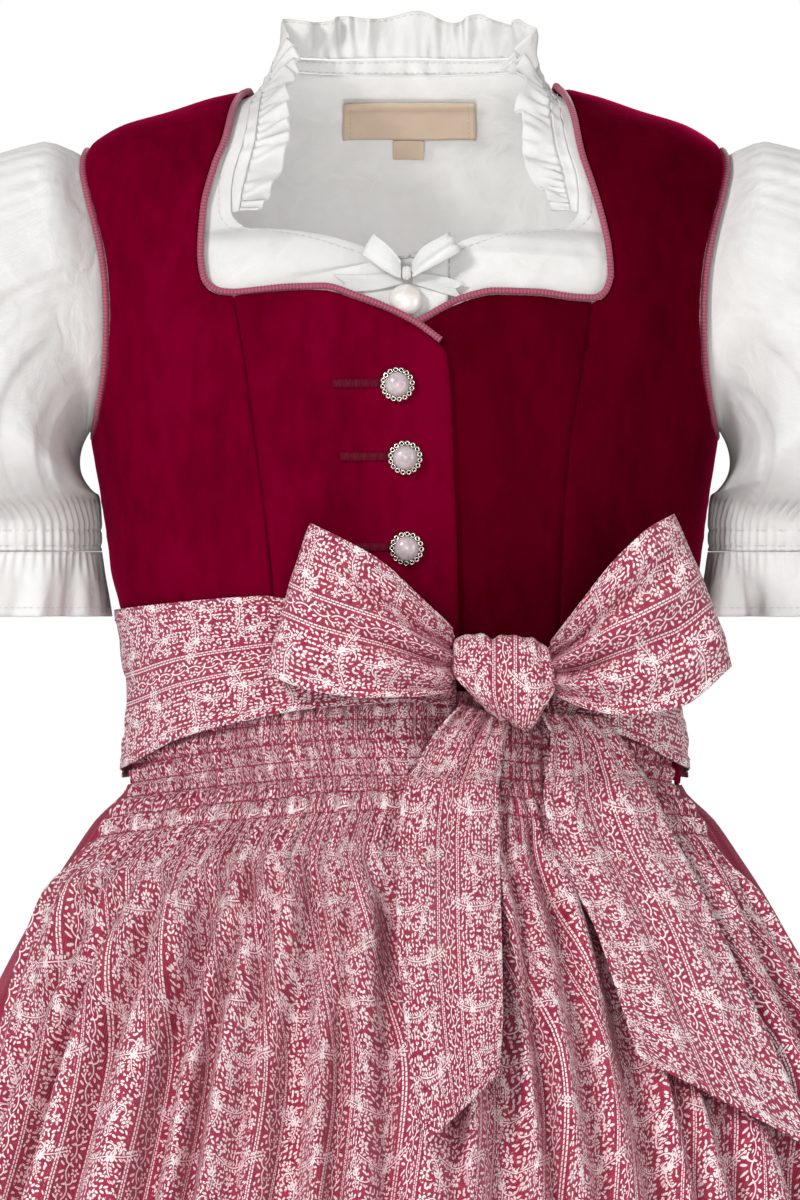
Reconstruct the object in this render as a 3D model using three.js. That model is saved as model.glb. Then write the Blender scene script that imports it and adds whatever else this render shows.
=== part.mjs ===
// A child's dirndl, worn: a velvet bodice over a puff-sleeved blouse, a gathered skirt, and a smocked apron
// whose sash is tied in a bow in front. Millimetres, +Z up, the front faces -Y and +X is the wearer's left.
// The origin lies midway between the two points where the shoulders meet the neck.
import * as THREE from "three";

const FRONT = -1;
const BACK = 1;
const RIGHT = -1;
const LEFT = 1;

// Cloth and seams
const SEAM = 0.3; // open gap between pieces that are sewn together
const VELVET = 2;
const COTTON = 1; // blouse
const SATIN = 1.5; // skirt
const JACQUARD = 1.4; // apron, sash and bow
const RIBBON = 1;
const LABEL = 1;

// Rows of numbers become rows of named columns.
function table(names, rows) {
  const columns = names.split(" ");
  return rows.map((row) => Object.fromEntries(columns.map((name, i) => [name, row[i]])));
}

// Sections of the general figure and, below the waist, of the skirt's crests: half width, depth in front of and
// behind the centre, and how square the section is (2 is an ellipse). fold is how deep the skirt's gathers go.
const WAIST = -257;
const HEM = -657;
const OUTLINE = table("z half front back power fold", [
  [30, 46, 24, 30, 2.3, 0],
  [10, 53, 27, 36, 2.3, 0],
  [0, 57.6, 30, 38, 2.3, 0],
  [-4, 73, 34, 42, 2.3, 0],
  [-9, 88, 38, 46, 2.3, 0],
  [-14, 104, 42.5, 50, 2.3, 0],
  [-18, 111.5, 45.8, 53.5, 2.3, 0],
  [-22, 117.3, 48.4, 56.5, 2.3, 0],
  [-27, 121, 51.3, 59.4, 2.3, 0],
  [-34, 123.4, 55, 63, 2.3, 0],
  [-46, 124.5, 60.5, 68, 2.3, 0],
  [-80, 124, 71.5, 79, 2.3, 0],
  [-110, 120, 77, 81, 2.3, 0],
  [-131, 115.5, 77, 79, 2.3, 0],
  [-165, 110, 74.5, 73, 2.3, 0],
  [-180, 108, 73.5, 70, 2.3, 0],
  [-192, 104.6, 72.5, 68.5, 2.3, 0],
  [-209, 101.3, 72, 67, 2.3, 0],
  [-228, 99.8, 72, 66.5, 2.3, 0],
  [-245, 100.6, 73.5, 67.5, 2.3, 0],
  [WAIST, 102.4, 75.5, 69.5, 2.3, 1],
  [-270, 114.5, 85.5, 79.5, 2.28, 2.6],
  [-283, 123.8, 94.5, 89, 2.26, 4],
  [-298, 134, 104.5, 99.5, 2.24, 5.5],
  [-320, 147, 118, 114, 2.22, 7],
  [-360, 168, 138, 136, 2.2, 8.5],
  [-430, 199, 166, 167, 2.15, 10.5],
  [-540, 243, 203, 206, 2.1, 13],
  [HEM, 285, 234, 238, 2.05, 15],
]);

// Smooth curve through one column of a table, over another, with no overshoot between the rows.
function smooth(rows, over, column) {
  const sorted = [...rows].sort((a, b) => a[over] - b[over]);
  const x = sorted.map((row) => row[over]);
  const y = sorted.map((row) => row[column]);
  const rise = x.slice(1).map((end, i) => (y[i + 1] - y[i]) / (end - x[i]));
  const slope = x.map((_, i) => {
    if (i === 0) return rise[0];
    if (i === x.length - 1) return rise[i - 1];
    const both = rise[i - 1] * rise[i];
    return both <= 0 ? 0 : (2 * both) / (rise[i - 1] + rise[i]);
  });
  return (at) => {
    if (at <= x[0]) return y[0];
    if (at >= x.at(-1)) return y.at(-1);
    const i = x.findIndex((end, k) => k > 0 && at <= end) - 1;
    const span = x[i + 1] - x[i];
    const t = (at - x[i]) / span;
    const rest = 1 - t;
    return (
      y[i] * (1 + 2 * t) * rest * rest +
      slope[i] * span * t * rest * rest +
      y[i + 1] * t * t * (1 + 2 * rest) -
      slope[i + 1] * span * t * t * rest
    );
  };
}

const half = smooth(OUTLINE, "z", "half");
const front = smooth(OUTLINE, "z", "front");
const back = smooth(OUTLINE, "z", "back");
const power = smooth(OUTLINE, "z", "power");
const fold = smooth(OUTLINE, "z", "fold");

const vector = (x, y, z) => new THREE.Vector3(x, y, z);
const lerp = THREE.MathUtils.lerp;
const steps = (count) => Array.from({ length: count + 1 }, (_, i) => i / count);
const radians = THREE.MathUtils.degToRad;
// 0 below the first value, 1 above the second, smooth between
const ramp = (value, from, to) => THREE.MathUtils.smoothstep((value - from) / (to - from), 0, 1);

// --- The figure as a surface -------------------------------------------------------------------------------

const arch = (reach, share, n) => reach * Math.max(0, 1 - Math.min(1, Math.abs(share)) ** n) ** (1 / n);
const depth = (z, side) => (side === FRONT ? front(z) : back(z));
// The point in front (or behind) at a distance from the centre, and the point at the side at a depth
const onFace = (side, x, z) => vector(x, side * arch(depth(z, side), x / half(z), power(z)), z);
const onFlank = (side, y, z) =>
  vector(side * arch(half(z), y / depth(z, Math.sign(y) || FRONT), power(z)), y, z);
// The point at a turn round the section: 0 is the centre front, a quarter turn the wearer's left
function around(turn, z) {
  const n = 2 / power(z);
  const s = Math.sin(turn);
  const c = Math.cos(turn);
  const across = half(z) * Math.sign(s) * Math.abs(s) ** n;
  return vector(across, -Math.sign(c) * depth(z, c > 0 ? FRONT : BACK) * Math.abs(c) ** n, z);
}
// How far outside the figure a point is, as a share of the section
function level(p) {
  const n = power(p.z);
  const side = p.y > 0 ? BACK : FRONT;
  return (Math.abs(p.x / half(p.z)) ** n + Math.abs(p.y / depth(p.z, side)) ** n) ** (1 / n) - 1;
}
function slopeOf(p) {
  const h = 0.05;
  const along = (x, y, z) =>
    (level(vector(p.x + x, p.y + y, p.z + z)) - level(vector(p.x - x, p.y - y, p.z - z))) / (2 * h);
  return vector(along(h, 0, 0), along(0, h, 0), along(0, 0, h));
}
const out = (p, distance) => p.clone().addScaledVector(slopeOf(p).normalize(), distance);
// Moves a point that is near the figure onto it
function settle(p) {
  const q = p.clone();
  for (let i = 0; i < 8; i++) {
    const slope = slopeOf(q);
    q.addScaledVector(slope, -level(q) / slope.lengthSq());
  }
  return q;
}
// Height of the shoulder above a place on the plan
function overShoulder(x, y) {
  let low = -70;
  let high = 29;
  for (let i = 0; i < 40; i++) {
    const middle = (low + high) / 2;
    if (level(vector(x, y, middle)) < 0) low = middle;
    else high = middle;
  }
  return vector(x, y, (low + high) / 2);
}
// A row of points on the figure between two ends, at shares of the way
const rowBetween = (from, to, shares) => shares.map((t) => settle(from.clone().lerp(to, t)));

// --- Walls ---------------------------------------------------------------------------------------------------

// Triangles between two rows of points, whatever their numbers, stepping along the row that is behind.
function strip(a, b) {
  const shares = (row) => {
    const reach = [0];
    row.slice(1).forEach((p, i) => reach.push(reach[i] + p.distanceTo(row[i])));
    return reach.map((r) => r / (reach.at(-1) || 1));
  };
  const same = a.length === b.length;
  const alongA = same ? null : shares(a);
  const alongB = same ? null : shares(b);
  const faces = [];
  let i = 0;
  let j = 0;
  while (i < a.length - 1 || j < b.length - 1) {
    let stepA = j === b.length - 1;
    if (!stepA && i < a.length - 1) {
      stepA = same
        ? i < j || (i === j && a[i + 1].distanceToSquared(b[j]) < b[j + 1].distanceToSquared(a[i]))
        : alongA[i + 1] <= alongB[j + 1];
      if (same && i > j) stepA = false;
    }
    faces.push(stepA ? [a[i], a[i + 1], b[j]] : [a[i], b[j + 1], b[j]]);
    if (stepA) i++;
    else j++;
  }
  return faces;
}
const flipped = (faces) => faces.map(([p, q, r]) => [p, r, q]);
const sheet = (rows) => rows.slice(1).flatMap((row, i) => strip(rows[i], row));

// Points moved against the sheet's own normals by the cloth's thickness
function behind(rows, thickness, closed) {
  const key = (p) => `${p.x.toFixed(4)},${p.y.toFixed(4)},${p.z.toFixed(4)}`;
  const normals = new Map();
  for (const [p, q, r] of sheet(rows)) {
    const n = q.clone().sub(p).cross(r.clone().sub(p));
    for (const corner of [p, q, r]) {
      const k = key(corner);
      normals.set(k, (normals.get(k) ?? vector(0, 0, 0)).add(n));
    }
  }
  return rows.map((row) => {
    const moved = row.map((p) => p.clone().addScaledVector(normals.get(key(p)).clone().normalize(), -thickness));
    if (closed) moved[moved.length - 1] = moved[0];
    return moved;
  });
}

// A solid between an outer and an inner sheet. Rows of a closed wall end where they began.
function wall(outer, inner, closed) {
  const faces = [...sheet(outer), ...flipped(sheet(inner))];
  faces.push(...flipped(strip(outer[0], inner[0])), ...strip(outer.at(-1), inner.at(-1)));
  if (!closed) {
    const edge = (rows, at) => rows.map((row) => row.at(at));
    faces.push(...strip(edge(outer, 0), edge(inner, 0)), ...flipped(strip(edge(outer, -1), edge(inner, -1))));
  }
  return solid(faces);
}
const cloth = (rows, thickness, closed = false) => wall(rows, behind(rows, thickness, closed), closed);
// The same rows run the other way, for the mirrored side
const turned = (rows) => rows.map((row) => [...row].reverse());
const sided = (rows, side) => (side === RIGHT ? turned(rows) : rows);
// A wall that follows the figure: its outer face is at a distance from it, which may change from point to point.
function panel(rows, thickness, distance = () => 0) {
  const face = (depth) => rows.map((row) => row.map((p) => out(p, distance(p) - depth)));
  return wall(face(0), face(thickness));
}

// A geometry from triangles of points, turned to face out
function solid(faces) {
  const whole = faces.filter(
    ([p, q, r]) => p.distanceTo(q) > 1e-3 && q.distanceTo(r) > 1e-3 && r.distanceTo(p) > 1e-3,
  );
  const volume = whole.reduce((sum, [p, q, r]) => sum + p.dot(q.clone().cross(r)), 0);
  const outward = volume < 0 ? flipped(whole) : whole;
  const geometry = new THREE.BufferGeometry().setFromPoints(outward.flat());
  geometry.computeVertexNormals();
  return geometry;
}

// A closed body made of rings, with a cap on the first and the last
function capped(rings) {
  const centre = (ring) =>
    ring.slice(1).reduce((sum, p) => sum.add(p), vector(0, 0, 0)).divideScalar(ring.length - 1);
  const first = centre(rings[0]);
  const last = centre(rings.at(-1));
  const faces = sheet(rings);
  rings[0].slice(1).forEach((p, i) => faces.push([rings[0][i], p, first].reverse()));
  rings.at(-1).slice(1).forEach((p, i) => faces.push([rings.at(-1)[i], p, last]));
  return solid(faces);
}

// Rings of a round cord along a path; lift gives the way up at each point.
function rings(path, sides, radius, lift) {
  return path.map((p, i) => {
    const before = path[Math.max(0, i - 1)];
    const after = path[Math.min(path.length - 1, i + 1)];
    const ahead = after.clone().sub(before).normalize();
    const up = lift(p);
    const across = ahead.clone().cross(up).normalize();
    const rise = across.clone().cross(ahead).normalize();
    const ring = steps(sides).map((t) =>
      p
        .clone()
        .addScaledVector(across, radius * Math.cos(2 * Math.PI * t))
        .addScaledVector(rise, radius * Math.sin(2 * Math.PI * t)),
    );
    ring[sides] = ring[0];
    return ring;
  });
}

// --- The object ----------------------------------------------------------------------------------------------

const dirndl = new THREE.Group();
const finish = (color, roughness, metalness = 0) =>
  new THREE.MeshStandardMaterial({ color, roughness, metalness });
const looks = {
  velvet: finish(0x6e001f, 0.9),
  piping: finish(0xa85468, 0.7),
  cotton: finish(0xeceae8, 0.85),
  jacquard: finish(0xb0566a, 0.6),
  satin: finish(0x8a1c40, 0.5),
  ribbon: finish(0xf4f4f2, 0.35),
  silver: finish(0x8c867c, 0.4, 1),
  pearl: finish(0xefe6e4, 0.2),
  label: finish(0xc3a88c, 0.7),
};
function add(name, geometry, look) {
  const mesh = new THREE.Mesh(geometry, looks[look]);
  mesh.name = name;
  dirndl.add(mesh);
  return mesh;
}
const named = (side) => (side === RIGHT ? "right" : "left");

// --- Bodice ----------------------------------------------------------------------------------------------------

// Front princess seams: distance from the centre on each side
const PRINCESS = table("z right left", [
  [-77.8, 63, 69.2],
  [-98, 59.4, 66],
  [-127, 55.4, 61.4],
  [-150, 52.4, 58.8],
  [-185, 48.5, 57.2],
  [-228, 47.5, 56.5],
  [WAIST, 49, 58],
]);
// The edge of the right front, which laps over the left
const LAP = table("z x", [
  [-96.5, 13],
  [-99.4, 15.2],
  [-118, 17],
  [-145, 18],
  [-182, 19.3],
  [WAIST, 20.5],
]);
const UNDERLAP = -14; // how far the left front reaches under the right
const LAP_RAISE = 2.8; // the right front stands this much above the left where they lap
// Top edge of the centre fronts
const TOP_RIGHT = table("x z", [
  [-63, -77.8],
  [-54, -77],
  [-42, -76],
  [-30, -76.3],
  [-17.6, -80],
  [-7.6, -83.9],
  [2.5, -89],
  [13, -96.5],
]);
const TOP_LEFT = table("x z", [
  [UNDERLAP, -104],
  [-4, -95],
  [4.1, -89.5],
  [10, -85.9],
  [17.6, -81.7],
  [25.2, -78.8],
  [32.8, -77.4],
  [48.6, -77.8],
  [62.3, -79.6],
  [69.2, -79.9],
]);
// Inner edge of the straps, from the princess seam up: distance from the centre and height on each side, and
// how far up the armhole (in degrees from the shoulder) the row ends
const STRAP = table("rightX rightZ leftX leftZ armhole", [
  [63, -77.8, 69.2, -79.9, 103],
  [67.7, -77.4, 72.4, -78.9, 98],
  [72.4, -75.2, 75.6, -75.2, 92],
  [75.2, -71.4, 77, -69.5, 86],
  [76.5, -62, 76.3, -60, 76],
  [75.6, -46.8, 74.5, -51, 63],
  [71.3, -28.8, 70.7, -37.3, 48],
  [67.7, -19.8, 66.2, -23.4, 35],
]);
// Over the shoulder the strap's inner edge runs back to the neck point
const NECK_POINT = { right: 59.4, left: 57.6 };
const SHOULDER = table("share armhole", [
  [0.66, 23],
  [0.33, 11],
  [0, 0],
]);
// The armhole: an egg, fuller below. Angles run from the shoulder round to the underarm.
const ARMHOLE = { centre: -76, rise: 55, depth: 39, fullness: 0.26 };
function armhole(side, degrees, face, inset = 0) {
  const turn = radians(degrees);
  const widen = 1 - ARMHOLE.fullness * Math.cos(turn);
  const y = (ARMHOLE.depth - inset) * Math.sin(turn) * widen;
  const z = ARMHOLE.centre + (ARMHOLE.rise - inset) * Math.cos(turn);
  return onFlank(side, face * Math.max(y, SEAM / 2), z);
}
const UNDERARM = ARMHOLE.centre - ARMHOLE.rise;
const sideSeam = (side, face, z) => onFlank(side, (face * SEAM) / 2, z);

// Rows of the seams below the armhole, and where they end at the side or on the armhole (in degrees)
const SIDE_ROWS = table("seam flank armhole", [
  [WAIST + SEAM, WAIST + SEAM, null],
  [-228, -228, null],
  [-192, -192, null],
  [-160, -158, null],
  [-136, UNDERARM, null],
  [-120, null, 162],
  [-107, null, 145],
  [-94, null, 129],
  [-84, null, 114],
]);
const SIDE_COLUMNS = 5;
function sideFront(side) {
  const key = named(side);
  const seam = smooth(PRINCESS, "z", key);
  const outerEnd = (row) =>
    row.armhole === null ? sideSeam(side, FRONT, row.flank) : armhole(side, row.armhole, FRONT);
  const ends = SIDE_ROWS.map((row) => [
    onFace(FRONT, side * (seam(row.seam) + SEAM / 2), row.seam),
    outerEnd(row),
  ]);
  for (const row of STRAP) {
    const x = row[key + "X"] + (row === STRAP[0] ? SEAM / 2 : 0);
    ends.push([onFace(FRONT, side * x, row[key + "Z"]), armhole(side, row.armhole, FRONT)]);
  }
  const last = ends.at(-1)[0];
  for (const { share, armhole: degrees } of SHOULDER) {
    const x = side * lerp(NECK_POINT[key], Math.abs(last.x), share);
    const y = Math.min(last.y * share, -SEAM / 2);
    ends.push([overShoulder(x, y), armhole(side, degrees, FRONT)]);
  }
  return ends;
}
for (const side of [RIGHT, LEFT]) {
  const rows = sideFront(side).map((ends) => rowBetween(...ends, steps(SIDE_COLUMNS)));
  add(`front_side_${named(side)}`, panel(rows, VELVET), "velvet");
}

// Where the right front lies on the left it stands up by LAP_RAISE, and so does all that lies over it.
const LAP_SLOPES = { rises: -48, risen: -27, falls: 22, fallen: 44 };
const lapRaise = (x) => LAP_RAISE * ramp(x, LAP_SLOPES.rises, LAP_SLOPES.risen);
const lapRaiseOver = (x) => Math.min(lapRaise(x), LAP_RAISE * (1 - ramp(x, LAP_SLOPES.falls, LAP_SLOPES.fallen)));
const FRONT_ROWS = [0, 0.18, 0.36, 0.52, 0.66, 0.8, 0.92, 1];
function centreFront(side) {
  const key = named(side);
  const top = side === RIGHT ? TOP_RIGHT : TOP_LEFT;
  const seam = smooth(PRINCESS, "z", key);
  const lap = smooth(LAP, "z", "x");
  const first = top[0].x;
  const width = top.at(-1).x - first;
  return FRONT_ROWS.map((t) =>
    top.map((column) => {
      const z = lerp(WAIST + SEAM, column.z, t);
      const from = side === RIGHT ? -seam(z) + SEAM / 2 : UNDERLAP;
      const to = side === RIGHT ? lap(z) : seam(z) - SEAM / 2;
      return onFace(FRONT, lerp(from, to, (column.x - first) / width), z);
    }),
  );
}
add("front_center_right", panel(centreFront(RIGHT), VELVET, (p) => lapRaise(p.x)), "velvet");
add("front_center_left", panel(centreFront(LEFT), VELVET), "velvet");

// The back halves meet at the centre back, below a round neck.
const BACK_NECK = table("x z armhole", [
  [0, -42, 82],
  [16, -40.5, 74],
  [32, -35, 64],
  [44, -26, 50],
  [51, -16, 34],
  [55, -8, 17],
]);
const BELOW_NECK = { z: -64, armhole: 98 }; // one more row between the side rows and the neck
const BACK_COLUMNS = 6;
function backHalf(side) {
  const ends = SIDE_ROWS.map((row) => [
    onFace(BACK, (side * SEAM) / 2, row.seam),
    row.armhole === null ? sideSeam(side, BACK, row.flank) : armhole(side, row.armhole, BACK),
  ]);
  ends.push([onFace(BACK, (side * SEAM) / 2, BELOW_NECK.z), armhole(side, BELOW_NECK.armhole, BACK)]);
  for (const row of BACK_NECK) {
    const x = side * Math.max(row.x, SEAM / 2);
    ends.push([onFace(BACK, x, row.z), armhole(side, row.armhole, BACK)]);
  }
  ends.push([overShoulder(side * NECK_POINT[named(side)], SEAM / 2), armhole(side, 0, BACK)]);
  return ends;
}
for (const side of [RIGHT, LEFT]) {
  const rows = backHalf(side).map((ends) => rowBetween(...ends, steps(BACK_COLUMNS)));
  add(`bodice_back_${named(side)}`, panel(rows, VELVET), "velvet");
}

// --- Piping ------------------------------------------------------------------------------------------------------

const PIPING = { radius: 1.25, sides: 5 };
const figureNormal = (p) => slopeOf(p).normalize();
// A path beside an edge of the bodice, on the side away from the cloth, in the middle of the wall
function beside(edge, turn, raise) {
  return edge.map((p, i) => {
    const ahead = edge[Math.min(edge.length - 1, i + 1)].clone().sub(edge[Math.max(0, i - 1)]);
    const away = ahead.cross(figureNormal(p)).normalize().multiplyScalar(turn);
    return out(p.clone().addScaledVector(away, PIPING.radius + SEAM), raise(p) - VELVET / 2);
  });
}
const pipe = (path) => capped(rings(path, PIPING.sides, PIPING.radius, figureNormal));

const LAP_END = 1.2; // the piping stops this far short of the lap's edge
const PIPE_END = 0.8; // and this far short of the top of the shoulder
for (const side of [RIGHT, LEFT]) {
  const top = side === RIGHT ? [...TOP_RIGHT].reverse() : TOP_LEFT.slice(1);
  const edge = top.map(({ x, z }) => onFace(FRONT, x, z));
  if (side === RIGHT) edge[0].lerp(edge[1], LAP_END / edge[0].distanceTo(edge[1]));
  const strap = sideFront(side)
    .slice(SIDE_ROWS.length + 1)
    .map(([inner]) => inner);
  const path = beside([...edge, ...strap], -side, (p) => (side === RIGHT ? lapRaise(p.x) : 0));
  path.at(-1).y = -PIPE_END;
  add(`piping_neck_${named(side)}`, pipe(path), "piping");
}
const backNeck = (side) =>
  backHalf(side)
    .slice(SIDE_ROWS.length + 1)
    .map(([inner]) => inner);
const backEdge = beside([...backNeck(RIGHT).reverse(), ...backNeck(LEFT).slice(1)], 1, () => 0);
backEdge[0].y = PIPE_END;
backEdge.at(-1).y = PIPE_END;
add("piping_neck_back", pipe(backEdge), "piping");
// The armhole piping has a bend wherever a row of the panels ends on the armhole.
const bends = (rows) => rows.map((row) => row.armhole).filter((degrees) => degrees !== null);
const FRONT_BENDS = [180, ...bends([...SIDE_ROWS, ...STRAP, ...SHOULDER])];
const BACK_BENDS = bends([...SIDE_ROWS, BELOW_NECK, ...BACK_NECK]);
for (const side of [RIGHT, LEFT]) {
  const ring = [];
  const bend = (degrees, face) => {
    const p = armhole(side, degrees, face, PIPING.radius + SEAM);
    if (degrees % 180 === 0) p.y = 0;
    ring.push(out(p, -VELVET / 2));
  };
  FRONT_BENDS.forEach((degrees) => bend(degrees, FRONT));
  [...BACK_BENDS].reverse().forEach((degrees) => bend(degrees, BACK));
  const loop = ring.map((p, i) => {
    const ahead = ring[(i + 1) % ring.length].clone().sub(ring.at(i - 1)).normalize();
    const across = ahead.clone().cross(figureNormal(p)).normalize();
    const rise = across.clone().cross(ahead);
    const section = steps(PIPING.sides).map((t) =>
      p
        .clone()
        .addScaledVector(across, PIPING.radius * Math.cos(2 * Math.PI * t))
        .addScaledVector(rise, PIPING.radius * Math.sin(2 * Math.PI * t)),
    );
    section[PIPING.sides] = section[0];
    return section;
  });
  add(`piping_armhole_${named(side)}`, solid(sheet([...loop, loop[0]])), "piping");
}

// --- Buttons on the lap ------------------------------------------------------------------------------------------

const BUTTONS = table("x z", [
  [-2.7, -110.5],
  [0.1, -137],
  [0.6, -170],
]);
const SETTING = table("radius height", [
  [0, 0],
  [5.8, 0],
  [6.5, 0.7],
  [6.5, 1.8],
  [5.8, 2.5],
  [4.9, 2],
  [4.9, 1],
  [0, 1],
]);
const PEARL = table("radius height", [
  [0, 1.3],
  [4.2, 1.3],
  [4.5, 2.2],
  [4.1, 3.4],
  [2.9, 4.4],
  [1.5, 4.9],
  [0, 5.1],
]);
const lathe = (profile, sides) =>
  new THREE.LatheGeometry(profile.map((row) => new THREE.Vector2(row.radius, row.height)), sides);
// Turns a lathe's axis to the figure's normal and sets it at a distance from the figure
function seat(mesh, x, z, distance) {
  const p = onFace(FRONT, x, z);
  mesh.position.copy(out(p, distance));
  mesh.quaternion.setFromUnitVectors(vector(0, 1, 0), figureNormal(p));
}
BUTTONS.forEach(({ x, z }, i) => {
  seat(add(`button_${i + 1}_setting`, lathe(SETTING, 12), "silver"), x, z, LAP_RAISE + SEAM);
  seat(add(`button_${i + 1}_pearl`, lathe(PEARL, 10), "pearl"), x, z, LAP_RAISE + SEAM);
});

// --- Blouse ------------------------------------------------------------------------------------------------------

const BLOUSE = -VELVET - 1.65; // its outer face, from the figure
const BLOUSE_HEM = -150;
const BLOUSE_NECK = 56.2; // where the ruffle's seam crosses the shoulder
const ARMHOLE_INSET = 2 * PIPING.radius + SEAM + 0.4; // the blouse shows inside the piping
// Seam of the neck ruffle up the strap and over the shoulder, how far the ruffle's free edge stands in from it
// and rises above it, and where the blouse's row ends on the armhole
const RUFFLE_SEAM = table("x z inward rise armhole", [
  [64.3, -46, 10, 1.5, 69],
  [64.4, -39, 15, 3, 59],
  [63.4, -31, 18.5, 4, 48],
  [60.6, -22, 17.5, 6, 36],
  [58.6, -12.4, 15.5, 8.5, 24],
]);
const BLOUSE_SHOULDER = table("x y inward rise armhole", [
  [57.3, -22, 14.3, 10, 15],
  [56.4, -10, 13.4, 11, 7],
  [BLOUSE_NECK, -SEAM / 2, 12.7, 12.5, 0],
]);
// Top edge of the lapped fronts, from the lap to the corner
const BLOUSE_TOP_RIGHT = table("x z armhole", [
  [15.8, -58.4, 84],
  [2.6, -63, 83],
  [-14, -58.9, 80],
  [-31, -54.3, 77],
  [-46, -52.3, 75],
  [-58, -51.9, 73],
]);
const BLOUSE_TOP_LEFT = table("x z armhole", [
  [8, -61.5, 84],
  [18.3, -57.4, 82],
  [28, -54.4, 79],
  [41.4, -53, 76],
  [57, -52.2, 73],
]);
const BLOUSE_ROWS = table("lap armhole", [
  [BLOUSE_HEM, null],
  [-128, 172],
  [-104, 128],
  [-80, 100],
]);
// Where the columns stand, as shares of the way to the armhole; the second follows the corner below the neck
const CORNER = 0.036;
const BLOUSE_COLUMNS = [0, CORNER, 0.14, 0.34, 0.56, 0.78, 1];
const blouseArmhole = (side, degrees, face) => armhole(side, degrees, face, ARMHOLE_INSET);
function blouseFront(side) {
  const top = side === RIGHT ? BLOUSE_TOP_RIGHT : BLOUSE_TOP_LEFT;
  const ends = BLOUSE_ROWS.map((row) => [
    onFace(FRONT, top[0].x, row.lap),
    row.armhole === null ? sideSeam(side, FRONT, row.lap) : blouseArmhole(side, row.armhole, FRONT),
  ]);
  for (const row of top) ends.push([onFace(FRONT, row.x, row.z), blouseArmhole(side, row.armhole, FRONT)]);
  for (const row of RUFFLE_SEAM) {
    ends.push([onFace(FRONT, side * row.x, row.z), blouseArmhole(side, row.armhole, FRONT)]);
  }
  for (const row of BLOUSE_SHOULDER) {
    ends.push([overShoulder(side * row.x, row.y), blouseArmhole(side, row.armhole, FRONT)]);
  }
  return ends;
}
// The left front drops under the right where they lap.
const UNDER_BLOUSE = COTTON + 0.8;
// Below the bust the blouse hangs a little freer inside the bodice.
const BLOUSE_EASE = { amount: 1.8, full: -120, none: -95 };
const UNDER_EDGE = { full: 17, none: 27 };
const onBlouse = (p) => BLOUSE - BLOUSE_EASE.amount * (1 - ramp(p.z, BLOUSE_EASE.full, BLOUSE_EASE.none));
const underLap = (p) => onBlouse(p) - UNDER_BLOUSE * (1 - ramp(p.x, UNDER_EDGE.full, UNDER_EDGE.none));
for (const side of [RIGHT, LEFT]) {
  const rows = blouseFront(side).map((ends) => rowBetween(...ends, BLOUSE_COLUMNS));
  add(`blouse_front_${named(side)}`, panel(rows, COTTON, side === RIGHT ? onBlouse : underLap), "cotton");
}
const BACK_COLLAR = 6; // height of the neck edge at the centre back
const BLOUSE_BACK = table("centre between armhole", [
  [BLOUSE_HEM, BLOUSE_HEM, null],
  [-120, -122, 158],
  [-90, -92, 115],
  [-60, -62, 85],
  [-38, -40, 62],
  [-22, -24, 42],
  [-9, -11, 20],
  [BACK_COLLAR, null, 0],
]);
const blouseBack = BLOUSE_BACK.map((row) => {
  const middle = onFace(BACK, 0, row.centre);
  const anchor = (side) =>
    row.between === null
      ? overShoulder(side * BLOUSE_NECK, SEAM / 2)
      : onFace(BACK, side * BLOUSE_NECK, row.between);
  const end = (side) =>
    row.armhole === null ? sideSeam(side, BACK, row.centre) : blouseArmhole(side, row.armhole, BACK);
  const towardsMiddle = (side) => [
    ...rowBetween(end(side), anchor(side), [0, 0.35, 0.7, 1 - CORNER]),
    ...rowBetween(anchor(side), middle, [0, 0.34, 0.67]),
  ];
  return [...towardsMiddle(LEFT), settle(middle), ...towardsMiddle(RIGHT).reverse()];
});
add("blouse_back", panel(blouseBack, COTTON, onBlouse), "cotton");

// --- Collar band and neck ruffle -------------------------------------------------------------------------------

const RUFFLE = { waves: 16, perWave: 4, depth: 2.2, backRise: 23, backLean: -0.02, sideLean: 0.2, backTilt: 1 };
const BAND_SHARE = 0.26; // the band takes this much of the ruffle's height
const RUFFLE_ROWS = table("share wave", [
  [BAND_SHARE + 0.035, 0],
  [0.62, 1.1],
  [1, RUFFLE.depth],
]);
const BACK_STATIONS = [0.2, 0.4, 0.6, 0.8];
const blouseMiddle = (p) => out(p, BLOUSE - COTTON / 2);
function ruffleSide(side) {
  const stations = [...RUFFLE_SEAM, ...BLOUSE_SHOULDER].map((row) => {
    const place = row.z === undefined ? overShoulder(side * row.x, row.y) : onFace(FRONT, side * row.x, row.z);
    const seam = blouseMiddle(place);
    return { seam, edge: seam.clone().add(vector(-side * row.inward, 0, row.rise)) };
  });
  const from = overShoulder(side * BLOUSE_NECK, SEAM / 2);
  const to = onFace(BACK, 0, BACK_COLLAR);
  for (const t of BACK_STATIONS) {
    const seam = blouseMiddle(settle(from.clone().lerp(to, t)));
    const lean = lerp(RUFFLE.sideLean, RUFFLE.backLean, Math.sqrt(t));
    const rise = lerp(BLOUSE_SHOULDER.at(-1).rise, RUFFLE.backRise, Math.sqrt(t));
    stations.push({ seam, edge: vector(seam.x * (1 - lean), seam.y * (1 - lean), seam.z + rise) });
  }
  return stations;
}
const backSeam = blouseMiddle(onFace(BACK, 0, BACK_COLLAR));
const collarStations = [
  ...ruffleSide(RIGHT),
  { seam: backSeam, edge: backSeam.clone().add(vector(0, RUFFLE.backTilt, RUFFLE.backRise)) },
  ...ruffleSide(LEFT).reverse(),
];
const seamCurve = new THREE.CatmullRomCurve3(collarStations.map((s) => s.seam));
const edgeCurve = new THREE.CatmullRomCurve3(collarStations.map((s) => s.edge));
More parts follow.
